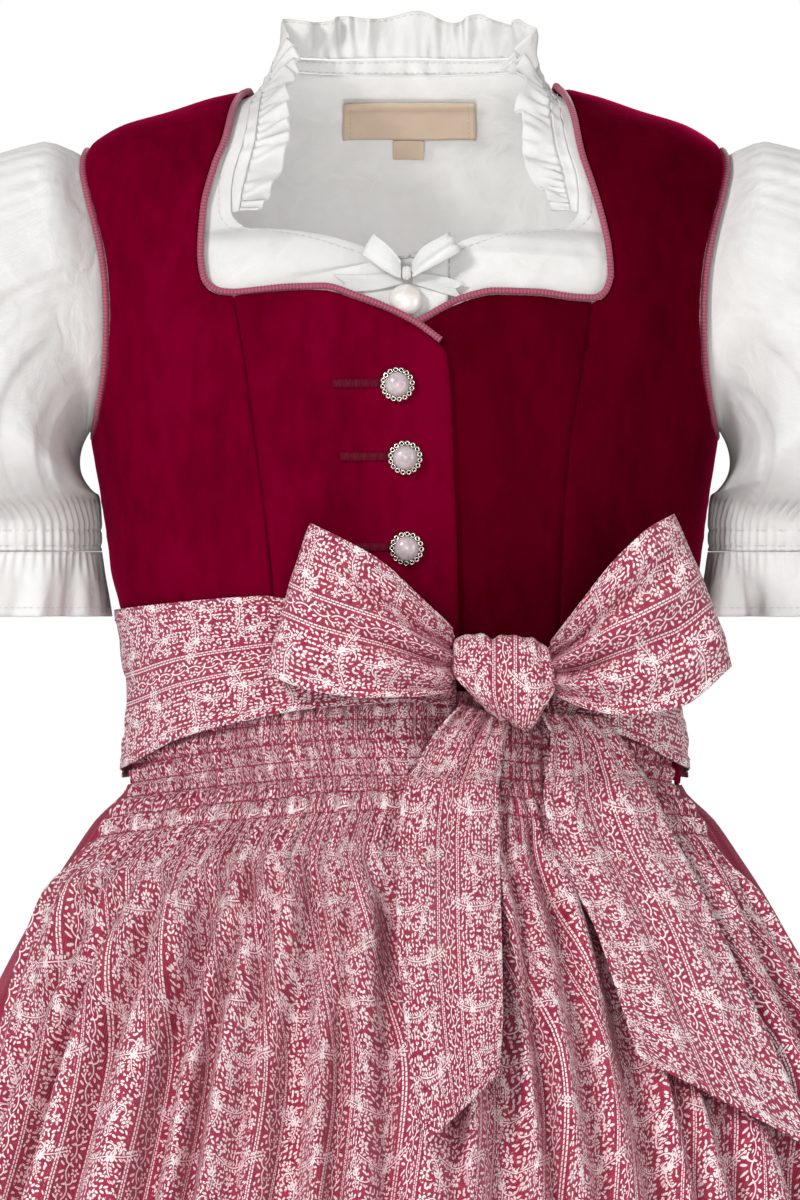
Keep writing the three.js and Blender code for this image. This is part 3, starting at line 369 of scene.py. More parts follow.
def round_part(grid, flat, capped=False):
    """A grid whose last column lies on its first, with a flat face over each end if it is capped"""
    knot, place = numbers(*grid.shape[:2], closed=True)
    flat = flat.reshape(-1, 2)
    points, faces, uv = tidy(grid.reshape(-1, 3), quads(knot), flat[quads(place)])
    if not capped:
        return points, faces, uv
    sides = grid.shape[1] - 1
    ends = (0, grid.shape[0] - 1)
    faces = [*faces.tolist(), *((np.arange(sides) + row * sides).tolist() for row in ends)]
    return points, faces, [*uv, *(np.repeat(flat[[row * (sides + 1)]], sides, 0) for row in ends)]


def rings(path, ahead, sides, radius, up):
    """Rings of points round a path, and the way round one on the flat cut"""
    across = unit(np.cross(ahead, up))
    rise = np.cross(across, ahead)
    turn = 2 * np.pi * shares(sides)
    radius = np.broadcast_to(np.asarray(radius, float), (len(path),))[:, None, None]
    ring = np.cos(turn)[None, :, None] * across[:, None] + np.sin(turn)[None, :, None] * rise[:, None]
    return path[:, None] + radius * ring, 2 * np.pi * float(radius.mean()) * shares(sides)


def tube(path, sides, radius, up):
    """A round cord along a path; radius may change from point to point, and up gives the way up at each"""
    grid, girth = rings(path, unit(np.gradient(path, axis=0)), sides, radius, up)
    return round_part(grid, pair(girth[None], along(path)[:, None]), capped=True)


def ring_tube(path, sides, radius, up):
    """A round cord along a closed path whose last point isn't the first"""
    grid, girth = rings(path, unit(np.roll(path, -1, 0) - np.roll(path, 1, 0)), sides, radius, up)
    grid = np.concatenate([grid, grid[:1]])
    knot, place = numbers(*grid.shape[:2], closed=True)
    knot[-1] = knot[0]
    way = along(path)
    way = np.append(way, way[-1] + np.linalg.norm(path[0] - path[-1]))
    flat = pair(girth[None], way[:, None]).reshape(-1, 2)
    return tidy(grid.reshape(-1, 3), quads(knot)[:, ::-1], flat[quads(place)[:, ::-1]])


def turned(rows, sides):
    """A body of revolution about +Z from its centre line out and back, closed at both ends"""
    turn = 2 * np.pi * shares(sides)[None]
    radius, height = column(rows, "radius")[:, None], column(rows, "height")[:, None]
    grid = point(radius * np.cos(turn), radius * np.sin(turn), height)
    return round_part(grid, pair(turn * radius.max(), along(grid[:, 0])[:, None]))


# --- Materials ----------------------------------------------------------------------------------------


def linear(hex_colour):
    """An sRGB hex value as linear colour"""
    parts = [int(hex_colour[i : i + 2], 16) / 255 for i in (0, 2, 4)]
    return [c / 12.92 if c <= 0.04045 else ((c + 0.055) / 1.055) ** 2.4 for c in parts] + [1.0]


def add_node(tree, kind, inputs=(), **settings):
    """Adds a node with its settings; inputs gives sockets a value, a node (its first output) or a socket"""
    made = tree.nodes.new("ShaderNode" + kind)
    for name, value in settings.items():
        setattr(made, name, value)
    for socket, value in dict(inputs).items():
        if isinstance(value, bpy.types.Node):
            value = value.outputs[0]
        if isinstance(value, bpy.types.NodeSocket):
            tree.links.new(value, made.inputs[socket])
        else:
            made.inputs[socket].default_value = value
    return made


def new_material(name, settings):
    """A material with one Principled shader whose plain values are settings"""
    made = bpy.data.materials.new(name)
    made.use_nodes = True
    shader = made.node_tree.nodes["Principled BSDF"]
    for socket, value in settings.items():
        shader.inputs[socket].default_value = value
    return made, made.node_tree, shader


def shade(name):
    """One of the dirndl's colours"""
    return list(getattr(bpy.context.scene.dirndl_looks, name))


def times(colour, *parts):
    """A colour with its red, green and blue each times a number"""
    return [c * part for c, part in zip(colour, (*parts, 1))]


def dye(tree, shader, share, low, high):
    """Colours the surface from one shade to the other by a share"""
    colour = add_node(tree, "Mix", {0: share, 6: low, 7: high}, data_type="RGBA")
    tree.links.new(colour.outputs[2], shader.inputs["Base Color"])


def raise_surface(tree, shader, height, distance, strength=1.0):
    """Height in shares of a distance in metres bends the surface's light"""
    bump = add_node(tree, "Bump", {"Height": height, "Distance": distance, "Strength": strength})
    tree.links.new(bump.outputs[0], shader.inputs["Normal"])


def weave(tree, place, pitch, lean=0.0):
    """Threads over and under each other at a pitch in metres, on the cloth's flat places"""
    turned = add_node(tree, "Mapping", {"Vector": place, "Rotation": (0, 0, lean), "Scale": (1 / pitch,) * 3})
    parts = add_node(tree, "SeparateXYZ", {0: turned})
    warp = add_node(tree, "Math", {0: parts.outputs[0], 1: 2 * math.pi}, operation="MULTIPLY")
    weft = add_node(tree, "Math", {0: parts.outputs[1], 1: 2 * math.pi}, operation="MULTIPLY")
    up = add_node(tree, "Math", {0: warp}, operation="SINE")
    over = add_node(tree, "Math", {0: weft}, operation="SINE")
    return add_node(tree, "Math", {0: up, 1: over, 2: 0.5}, operation="MULTIPLY_ADD")


def velvet_material(name, colour):
    """Cotton velvet: a short cut pile, nearly without gloss, glowing at grazing angles, with brushed nap"""
    made, tree, shader = new_material(
        name,
        {
            "Roughness": 1.0,
            "Specular IOR Level": 0.0,
            "Sheen Weight": 0.5,
            "Sheen Roughness": 0.3,
            "Sheen Tint": (1, 0.02, 0.16, 1),
        },
    )
    place = add_node(tree, "TexCoord").outputs["Object"]
    # Nap brushed up and down: patches some 30 mm wide and 90 mm long, and finer streaks
    long = add_node(tree, "Mapping", {"Vector": place, "Scale": (1, 1, 0.42)})
    patches = add_node(tree, "TexNoise", {"Vector": long, "Scale": 1 / 0.034, "Detail": 3, "Roughness": 0.55})
    streaks = add_node(tree, "TexNoise", {"Vector": long, "Scale": 1 / 0.005, "Detail": 2})
    nap = add_node(tree, "Mix", {0: 0.3, 2: patches, 3: streaks}, data_type="FLOAT")
    share = add_node(tree, "MapRange", {0: nap, 1: 0.38, 2: 0.6})
    crest = times(shade(colour), 1.1, 1.1, 1.1)
    dye(tree, shader, share, times(crest, 0.62, 0.62, 0.56), crest)
    # The pile's tips stand about 0.5 mm apart, drawn at 0.9 mm so that they show
    tips = add_node(tree, "TexNoise", {"Vector": place, "Scale": 1 / 0.0009, "Detail": 1})
    raise_surface(tree, shader, tips, 0.0003, 0.6)
    return made


def cotton_material():
    """Cotton poplin: bleached plain weave, matt, softly creased where it was pressed and worn"""
    made, tree, shader = new_material(
        "cotton_poplin",
        {
            "Roughness": 0.88,
            "Specular IOR Level": 0.25,
            "Sheen Weight": 0.08,
            "Subsurface Weight": 0.12,
            "Subsurface Radius": (0.9, 0.85, 0.8),
            "Subsurface Scale": 0.0015,
        },
    )
    flat = add_node(tree, "UVMap", uv_map="cut")
    place = add_node(tree, "TexCoord").outputs["Object"]
    # Threads 0.3 mm apart, drawn at 0.8 mm so that they show
    threads = weave(tree, flat, 0.0008)
    # Pressed creases: soft ridges some 22 mm apart
    drift = add_node(tree, "TexNoise", {"Vector": place, "Scale": 1 / 0.03, "Detail": 2})
    wandering = add_node(tree, "Mix", {0: 0.06, 4: place, 5: drift.outputs["Color"]}, data_type="VECTOR")
    ridges = add_node(tree, "TexNoise", {"Vector": wandering.outputs[1], "Scale": 1 / 0.022, "Detail": 3})
    crease = add_node(tree, "Math", {0: ridges, 1: 6.0}, operation="MULTIPLY")
    height = add_node(tree, "Math", {0: threads, 1: 0.16, 2: crease}, operation="MULTIPLY_ADD")
    raise_surface(tree, shader, height, 0.00032)
    # Painted shade: the colour darkens in the hollows between the crease ridges, where the bump is lowest
    share = add_node(tree, "MapRange", {0: ridges, 1: 0.35, 2: 0.65})
    dye(tree, shader, share, shade("cotton_shade"), shade("cotton"))
    return made


def skirt_material():
    """Satin-weave skirt cloth: long floats of thread give a soft gloss across the folds"""
    made, tree, shader = new_material(
        "skirt_satin",
        {
            "Roughness": 0.42,
            "Specular IOR Level": 0.4,
            "Sheen Weight": 0.35,
            "Sheen Roughness": 0.4,
            "Sheen Tint": (1, 0.55, 0.65, 1),
            "Anisotropic": 0.35,
        },
    )
    flat = add_node(tree, "UVMap", uv_map="cut")
    # Floats 0.4 mm apart on a slant, drawn at 1 mm so that they show
    floats = weave(tree, flat, 0.001, math.radians(26))
    long = add_node(tree, "Mapping", {"Vector": flat, "Scale": (1, 0.12, 1)})
    shot = add_node(tree, "TexNoise", {"Vector": long, "Scale": 1 / 0.006, "Detail": 3})
    share = add_node(tree, "MapRange", {0: shot, 1: 0.3, 2: 0.7})
    dye(tree, shader, share, shade("skirt_deep"), shade("skirt"))
    height = add_node(tree, "Math", {0: floats, 1: 0.5, 2: shot}, operation="MULTIPLY_ADD")
    raise_surface(tree, shader, height, 0.00018)
    return made


# The jacquard's flower stripe and vine stripe, each half a repeat long: the other half is its mirror image.
# Places and sizes in millimetres from the stripe's middle line, angles in degrees.
BROAD = {"half": 18.5}
BROAD_SPRIGS = table(
    "u v radius angle reach leaf",
    # centre and radius of the stem's arc, where its middle points, half its length, and a leaf's length
    (-4, -16, 24, 96, 12.5, 1.6),
    (17.5, 15.5, 12.5, 188, 8, 1.5),
    (-16.5, 9.5, 8.5, 352, 6.5, 1.4),
)
BROAD_FLOWERS = table(
    "u v radius angle",
    (3.8, 2.6, 2.3, 10),
    (9.6, 5.2, 1.9, 40),
    (-3.4, 12.7, 2.3, -15),
    (-11.4, 3.4, 2.0, 25),
    (11.2, 12.6, 2.1, 0),
)
BROAD_TENDRILS = table(
    "u v radius angle sweep",
    (2.2, 12.2, 3.1, 70, 105),
    (-6.8, 5.6, 2.9, 200, 95),
    (7.8, 9.6, 2.2, 330, 90),
)
BROAD_LEAVES = table(
    "u v angle long wide",
    # tulip buds: three petals each
    (5.4, 12.6, 62, 2.4, 0.9),
    (6.3, 11.5, 90, 2.6, 0.9),
    (7.2, 12.5, 118, 2.4, 0.9),
    (-9.6, 8.4, 62, 2.2, 0.85),
    (-8.7, 7.4, 90, 2.4, 0.85),
    (-7.8, 8.3, 118, 2.2, 0.85),
    (-0.6, 9.2, 40, 1.9, 0.7),
    (0.6, 6.9, -35, 1.8, 0.7),
    (-2.2, 7.1, 20, 1.8, 0.7),
    (12.8, 9.0, 75, 1.8, 0.7),
    (-13.4, 14.8, 30, 1.9, 0.7),
    (-10.7, 16.2, -30, 1.8, 0.7),
    (6.6, 16.1, 15, 1.8, 0.7),
    (1.2, 16.7, -40, 1.7, 0.7),
    (13.4, 1.6, 60, 1.7, 0.7),
)
SMALL_LEAVES = {"apart": 2.0, "long": 0.92, "wide": 0.44, "clear": 1.75, "edge": 7.7}
NARROW = {"half": 7.2}
NARROW_STEMS = table(
    "u v radius angle sweep",
    (3.6, 3.6, 4.6, 180, 46),
    (0.2, 6.3, 2.1, 40, 80),
)
NARROW_FLOWERS = table("u v radius angle", (2.5, 3.5, 1.6, 0))
NARROW_LEAVES = table(
    "u v angle long wide",
    (-2.8, 4.6, 140, 2.6, 0.95),
    (-3.1, 1.6, 30, 2.2, 0.9),
    (-1.9, 6.4, 100, 1.8, 0.8),
    (0.7, 1.3, 20, 1.9, 0.8),
    (3.6, 0.6, 70, 1.9, 0.8),
    (3.2, 6.3, 140, 1.8, 0.8),
    (0.5, 5.0, 60, 1.5, 0.65),
)
CHAIN = table("u shift", (5.3, 0), (6.35, 0.85))
CHAIN_LINK = {"wide": 0.6, "long": 1.42, "pitch": 1.75}
FLOWER = {"petals": 5, "heart": 0.06, "eye": 0.33}


def own_place(tree, place, row, size=(1, 1, 1)):
    """Places as seen from a motif's centre, turned with it and measured by its size"""
    turn = (0, 0, math.radians(row["angle"]))
    spot = {"Vector": place, "Location": (row["u"], row["v"], 0), "Rotation": turn, "Scale": size}
    return add_node(tree, "Mapping", spot, vector_type="TEXTURE")


def polar(tree, own):
    """Distance from a motif's centre, and bearing round it"""
    parts = add_node(tree, "SeparateXYZ", {0: own})
    radius = add_node(tree, "VectorMath", {0: own}, operation="LENGTH").outputs["Value"]
    return radius, add_node(tree, "Math", {0: parts.outputs[1], 1: parts.outputs[0]}, operation="ARCTAN2")


def leaf_motif(tree, place, row):
    """Under 1 inside one leaf or petal"""
    own = own_place(tree, place, row, (row["long"] / 2, row["wide"] / 2, 1))
    return add_node(tree, "VectorMath", {0: own}, operation="LENGTH").outputs["Value"]


def flower_motif(tree, place, row):
    """Under 1 inside the petals of a flower with an open eye"""
    radius, bearing = polar(tree, own_place(tree, place, row, (row["radius"],) * 3))
    lobes = add_node(tree, "Math", {0: bearing, 1: FLOWER["petals"] / 2}, operation="MULTIPLY")
    swing = add_node(tree, "Math", {0: lobes}, operation="COSINE")
    petal = add_node(tree, "Math", {0: swing}, operation="ABSOLUTE")
    edge = add_node(tree, "Math", {0: petal, 1: FLOWER["heart"]}, operation="ADD")
    within = add_node(tree, "Math", {0: radius, 1: edge}, operation="DIVIDE")
    eye = add_node(tree, "Math", {0: FLOWER["eye"], 1: radius}, operation="DIVIDE")
    return add_node(tree, "Math", {0: within, 1: eye}, operation="MAXIMUM").outputs[0]


def stem_motif(tree, place, row, wide=0.5):
    """Under 1 inside a thread-thin arc; sweep is half its angle"""
    own = own_place(tree, place, row, (row["radius"],) * 3)
    radius = add_node(tree, "VectorMath", {0: own}, operation="LENGTH").outputs["Value"]
    sharp = 2 * row["radius"] / wide
    off = add_node(tree, "Math", {0: radius, 1: sharp, 2: -sharp}, operation="MULTIPLY_ADD")
    across = add_node(tree, "Math", {0: off}, operation="ABSOLUTE")
    ahead = add_node(tree, "SeparateXYZ", {0: own}).outputs[0]
    open_by = 1 - math.cos(math.radians(row["sweep"]))
    clip = add_node(tree, "Math", {0: ahead, 1: -1 / open_by, 2: 1 / open_by}, operation="MULTIPLY_ADD")
    return add_node(tree, "Math", {0: across, 1: clip}, operation="MAXIMUM").outputs[0]


def sprig_motif(tree, place, row):
    """Under 1 inside a curved stem with leaves in pairs all along it"""
    radius, bearing = polar(tree, own_place(tree, place, row))
    way = add_node(tree, "Math", {0: bearing, 1: row["radius"]}, operation="MULTIPLY")
    off = add_node(tree, "Math", {0: radius, 1: row["radius"]}, operation="SUBTRACT")
    aside = add_node(tree, "Math", {0: off}, operation="ABSOLUTE")
    size = row["leaf"]
    pitch = size * 0.95
    step = add_node(tree, "Math", {0: way, 1: pitch}, operation="FLOORED_MODULO")
    local = add_node(tree, "CombineXYZ", {0: step, 1: aside})
    leaf = {"u": 0.5 * pitch, "v": 0.72 * size, "angle": 50, "long": size * 0.92, "wide": size * 0.42}
    leaves = leaf_motif(tree, local, leaf)
    stem = add_node(tree, "Math", {0: aside, 1: 4.8}, operation="MULTIPLY")
    both = add_node(tree, "Math", {0: leaves, 1: stem}, operation="MINIMUM")
    far = add_node(tree, "Math", {0: way}, operation="ABSOLUTE")
    clip = add_node(tree, "Math", {0: far, 1: 3.0, 2: 1 - 3 * row["reach"]}, operation="MULTIPLY_ADD")
    return add_node(tree, "Math", {0: both, 1: clip}, operation="MAXIMUM").outputs[0]


def small_leaves(tree, flat, field, aside):
    """Under 1 inside the small leaves that point every way between the larger motifs of a stripe"""
    apart = 1 / SMALL_LEAVES["apart"]
    scatter = {"Vector": flat, "Scale": apart, "Randomness": 0.62}
    cells = add_node(tree, "TexVoronoi", scatter, voronoi_dimensions="2D")
    own = add_node(tree, "VectorMath", {0: flat, 1: cells.outputs["Position"]}, operation="SUBTRACT")
    hue = add_node(tree, "SeparateXYZ", {0: cells.outputs["Color"]}).outputs[0]
    angle = add_node(tree, "Math", {0: hue, 1: math.pi}, operation="MULTIPLY")
    leaned = add_node(tree, "VectorRotate", {"Vector": own, "Angle": angle}, rotation_type="Z_AXIS")
    shape = (1 / SMALL_LEAVES["long"], 1 / SMALL_LEAVES["wide"], 0)
    shaped = add_node(tree, "VectorMath", {0: leaned, 1: shape}, operation="MULTIPLY")
    leaves = add_node(tree, "VectorMath", {0: shaped}, operation="LENGTH").outputs["Value"]
    clear = SMALL_LEAVES["clear"]
    room = add_node(tree, "Math", {0: field, 1: -4.0, 2: 4.0 * clear}, operation="MULTIPLY_ADD")
    edge = SMALL_LEAVES["edge"]
    within = add_node(tree, "Math", {0: aside, 1: -4.0, 2: 4.0 * edge + 1}, operation="MULTIPLY_ADD")
    limits = add_node(tree, "Math", {0: room, 1: within}, operation="MAXIMUM")
    return add_node(tree, "Math", {0: leaves, 1: limits}, operation="MAXIMUM").outputs[0]


def nearest(tree, values):
    """The smallest of several values"""
    while len(values) > 1:
        pairs = [values[i : i + 2] for i in range(0, len(values), 2)]
        values = [
            add_node(tree, "Math", {0: p[0], 1: p[1]}, operation="MINIMUM").outputs[0] if len(p) > 1 else p[0]
            for p in pairs
        ]
    return values[0]


def with_mirrored(rows, length):
    """A chart's rows, and again those that cross its ends, mirrored into the next half repeat"""
    copies = []
    for row in rows:
        size = row["radius"] + (0.5 if "sweep" in row else 0)
        for shift in (-length, length):
            v = row["v"] + shift
            if -size < v < length + size:
                copies.append({**row, "u": -row["u"], "v": v, "angle": 180 - row["angle"]})
    return rows + copies


def half_repeats(tree, across, lengthways, length):
    """Places in a stripe folded into one half repeat, every other one mirrored"""
    count = add_node(tree, "Math", {0: lengthways, 1: length}, operation="DIVIDE")
    number = add_node(tree, "Math", {0: count}, operation="FLOOR")
    odd = add_node(tree, "Math", {0: number, 1: 2.0}, operation="FLOORED_MODULO")
    sign = add_node(tree, "Math", {0: odd, 1: -2.0, 2: 1.0}, operation="MULTIPLY_ADD")
    mirrored = add_node(tree, "Math", {0: across, 1: sign}, operation="MULTIPLY")
    rest = add_node(tree, "Math", {0: lengthways, 1: length}, operation="FLOORED_MODULO")
    return add_node(tree, "CombineXYZ", {0: mirrored, 1: rest}).outputs[0]


def jacquard_motif(tree, flat, repeat):
    """1 on the pale motif and 0 on the ground of the striped jacquard, from the cloth's flat places"""
    scaled = add_node(tree, "VectorMath", {0: flat, "Scale": 1 / MM}, operation="SCALE")
    parts = add_node(tree, "SeparateXYZ", {0: scaled})
    u, v = parts.outputs[0], parts.outputs[1]
    shifted = add_node(tree, "Math", {0: u, 1: repeat / 2}, operation="ADD")
    folded = add_node(tree, "Math", {0: shifted, 1: repeat}, operation="FLOORED_MODULO")
    narrow = add_node(tree, "Math", {0: folded, 1: repeat / 2}, operation="SUBTRACT").outputs[0]
    across = add_node(tree, "Math", {0: u, 1: repeat}, operation="FLOORED_MODULO")
    broad = add_node(tree, "Math", {0: across, 1: repeat / 2}, operation="SUBTRACT").outputs[0]
    field = []
    place = half_repeats(tree, broad, v, BROAD["half"])
    field += [sprig_motif(tree, place, row) for row in BROAD_SPRIGS]
    field += [flower_motif(tree, place, row) for row in with_mirrored(BROAD_FLOWERS, BROAD["half"])]
    field += [stem_motif(tree, place, row) for row in BROAD_TENDRILS]
    field += [leaf_motif(tree, place, row) for row in BROAD_LEAVES]
    aside = add_node(tree, "Math", {0: narrow}, operation="ABSOLUTE")
    larger = nearest(tree, field)
    field = [larger, small_leaves(tree, scaled, larger, aside)]
    place = half_repeats(tree, narrow, v, NARROW["half"])
    field += [stem_motif(tree, place, row, 0.55) for row in with_mirrored(NARROW_STEMS, NARROW["half"])]
    field += [flower_motif(tree, place, row) for row in NARROW_FLOWERS]
    field += [leaf_motif(tree, place, row) for row in NARROW_LEAVES]
    for line_row in CHAIN:
        off = add_node(tree, "Math", {0: aside, 1: line_row["u"]}, operation="SUBTRACT")
        apart = add_node(tree, "Math", {0: off}, operation="ABSOLUTE")
        wide = add_node(tree, "Math", {0: apart, 1: 2 / CHAIN_LINK["wide"]}, operation="MULTIPLY")
        moved = add_node(tree, "Math", {0: v, 1: line_row["shift"]}, operation="ADD")
        step = add_node(tree, "Math", {0: moved, 1: CHAIN_LINK["pitch"] / 2}, operation="PINGPONG")
        long = add_node(tree, "Math", {0: step, 1: 2 / CHAIN_LINK["long"]}, operation="MULTIPLY")
        field.append(add_node(tree, "Math", {0: wide, 1: long}, operation="MAXIMUM").outputs[0])
    settings = {0: nearest(tree, field), 1: 1.09, 2: 0.87, 3: 0.0, 4: 1.0}
    return add_node(tree, "MapRange", settings, interpolation_type="SMOOTHSTEP").outputs[0]


FOLD_SHADE_TINT = (0.54, 0.18, 0.26, 1)  # painted shade: what each colour is multiplied by between two folds


def jacquard_material():
    """Silk-look jacquard: a fine satin ground with a pale weft motif that is a little more matt"""
    made, tree, shader = new_material(
        "striped_jacquard",
        {
            "Specular IOR Level": 0.55,
            "Sheen Weight": 0.16,
            "Sheen Roughness": 0.35,
            "Sheen Tint": (1, 0.6, 0.7, 1),
        },
    )
    flat = add_node(tree, "UVMap", uv_map="cut")
    motif = jacquard_motif(tree, flat, bpy.context.scene.dirndl_looks.repeat / MM)
    # The ground's twill lines lie 0.4 mm apart, drawn at 0.9 mm so that they show
    twill = weave(tree, flat, 0.0009, math.radians(32))
    shot = add_node(tree, "TexNoise", {"Vector": flat, "Scale": 1 / 0.003, "Detail": 2})
    dyed = add_node(tree, "MapRange", {0: shot, 1: 0.3, 2: 0.7})
    ground = add_node(tree, "Mix", {0: dyed, 6: shade("ground_deep"), 7: shade("ground")}, data_type="RGBA")
    colour = add_node(tree, "Mix", {0: motif, 6: ground.outputs[2], 7: shade("motif")}, data_type="RGBA")
    # Painted shade: between its folds ambient occlusion darkens the colour towards crimson, so it looks
    # deeper there
    closed = add_node(tree, "AmbientOcclusion", {"Distance": 0.016}, samples=4)
    fold_shade_share = add_node(tree, "MapRange", {0: closed.outputs["AO"], 1: 0.22, 2: 0.74})
    painted_fold_shade = {0: 1.0, 6: colour.outputs[2], 7: FOLD_SHADE_TINT}
    deep = add_node(tree, "Mix", painted_fold_shade, data_type="RGBA", blend_type="MULTIPLY")
    dye(tree, shader, fold_shade_share, deep.outputs[2], colour.outputs[2])
    gloss = add_node(tree, "MapRange", {0: motif, 3: 0.34, 4: 0.5})
    tree.links.new(gloss.outputs[0], shader.inputs["Roughness"])
    raise_surface(tree, shader, twill, 0.00016)
    return made


def piping_material():
    """Ribbed cord covered in old-rose satin: rounded ribs, with a painted highlight on each and painted shade
    between them
    """
    made, tree, shader = new_material(
        "ribbed_piping", {"Roughness": 0.55, "Sheen Weight": 0.3, "Sheen Tint": (1, 0.7, 0.75, 1)}
    )
    flat = add_node(tree, "UVMap", uv_map="cut")
    parts = add_node(tree, "SeparateXYZ", {0: flat})
    # Ribs of twisted thread 1.3 mm apart along the cord
    ribs = add_node(tree, "Math", {0: parts.outputs[1], 1: 2 * math.pi / 0.0013}, operation="MULTIPLY")
    swing = add_node(tree, "Math", {0: ribs}, operation="SINE")
    # Painted highlight and shade: the colour is lightest on each rib's crest and darkest in the grooves
    # between ribs
    share = add_node(tree, "MapRange", {0: swing, 1: -1.0, 2: 1.0})
    dye(tree, shader, share, shade("piping_painted_shade"), shade("piping"))
    raise_surface(tree, shader, share, 0.0003, 0.8)
    return made


def ribbon_material(name, colour, gloss):
    """Woven satin ribbon: very fine floats along its length, bright and smooth"""
    settings = {"Roughness": gloss, "Sheen Weight": 0.2, "Specular IOR Level": 0.5}
    made, tree, shader = new_material(name, settings)
    flat = add_node(tree, "UVMap", uv_map="cut")
    # Floats 0.25 mm apart, drawn at 0.6 mm so that they show
    floats = weave(tree, flat, 0.0006, math.radians(12))
    cloudy = add_node(tree, "TexNoise", {"Vector": flat, "Scale": 1 / 0.008, "Detail": 2})
    share = add_node(tree, "MapRange", {0: cloudy, 1: 0.3, 2: 0.7})
    dye(tree, shader, share, times(shade(colour), 0.93, 0.93, 0.93), shade(colour))
    raise_surface(tree, shader, floats, 0.00012)
    return made


def thread_material(name, colour):
    """Mercerised sewing thread: twisted plies with a silky light"""
    made, tree, shader = new_material(name, {"Roughness": 0.7, "Specular IOR Level": 0.15})
    place = add_node(tree, "TexCoord").outputs["Object"]
    plies = add_node(tree, "TexNoise", {"Vector": place, "Scale": 1 / 0.0006, "Detail": 2})
    dye(tree, shader, plies, times(shade(colour), 0.7, 0.7, 0.7), shade(colour))
    raise_surface(tree, shader, plies, 0.0001)
    return made


def silver_material():
    """Antiqued cast metal: bright on the worn crests, dark where the patina stays in the hollows"""
    made, tree, shader = new_material("antiqued_silver", {"Metallic": 1.0})
    place = add_node(tree, "TexCoord").outputs["Object"]
    worn = add_node(tree, "NewGeometry").outputs["Pointiness"]
    grain = add_node(tree, "TexNoise", {"Vector": place, "Scale": 1 / 0.0012, "Detail": 3})
    hollow = add_node(tree, "AmbientOcclusion", {"Distance": 0.0012}, samples=6).outputs["AO"]
    crest = add_node(tree, "MapRange", {0: worn, 1: 0.46, 2: 0.54})
    clear = add_node(tree, "MapRange", {0: hollow, 1: 0.42, 2: 0.74})
    share = add_node(tree, "Math", {0: crest, 1: clear}, operation="MULTIPLY")
    spotted = add_node(tree, "Math", {0: grain, 1: 0.5, 2: share}, operation="MULTIPLY_ADD")
    bright = add_node(tree, "MapRange", {0: spotted, 1: 0.55, 2: 1.05})
    dye(tree, shader, bright, linear("0b0806"), linear("d9d2c4"))
    gloss = add_node(tree, "MapRange", {0: bright, 3: 0.5, 4: 0.24})
    tree.links.new(gloss.outputs[0], shader.inputs["Roughness"])
    return made


def pearl_material(name, body, clouded):
    """Pearl lacquer on a moulded button: milky body under a clear, lustrous coat"""
    made, tree, shader = new_material(
        name,
        {
            "Roughness": 0.3,
            "Coat Weight": 1.0,
            "Coat Roughness": 0.06,
            "Subsurface Weight": 0.15,
            "Subsurface Scale": 0.001,
        },
    )
    place = add_node(tree, "TexCoord").outputs["Object"]
    clouds = add_node(tree, "TexNoise", {"Vector": place, "Scale": 1 / 0.004, "Detail": 2, "Distortion": 0.6})
    share = add_node(tree, "MapRange", {0: clouds, 1: 0.35, 2: 0.65})
    dye(tree, shader, share, shade(body), shade(clouded))
    raise_surface(tree, shader, clouds, 0.00006)
    return made


MATERIALS = {}


def make_materials():
    MATERIALS.update(
        # Painted shade: the left half's velvet is a deeper copy of the same velvet
        velvet_right=velvet_material("cotton_velvet_nap_up", "velvet"),
        velvet_left=velvet_material("cotton_velvet_nap_down", "velvet_deep"),
        cotton=cotton_material(),
        skirt=skirt_material(),
        jacquard=jacquard_material(),
        piping=piping_material(),
        ribbon=ribbon_material("satin_ribbon", "ribbon", 0.34),
        label=ribbon_material("woven_label", "label", 0.5),
        wine_thread=thread_material("wine_thread", "velvet_thread"),
        rose_thread=thread_material("rose_thread", "rose_thread"),
        white_thread=thread_material("white_thread", "white_thread"),
        label_thread=thread_material("label_thread", "label"),
        silver=silver_material(),
        pearl=pearl_material("pearl_lacquer", "pearl", "pearl_deep"),
        white_pearl=pearl_material("white_pearl_lacquer", "white_pearl", "white_pearl_deep"),
    )


# --- Sizes and colours that a user would change -------------------------------------------------------


def size_property(name, description, default):
    return FloatProperty(name=name, description=description, default=default, unit="LENGTH", min=0.0)


def colour_property(name, description, hex_colour):
    limits = {"subtype": "COLOR", "size": 4, "min": 0.0, "max": 1.0}
    return FloatVectorProperty(name=name, description=description, default=linear(hex_colour), **limits)


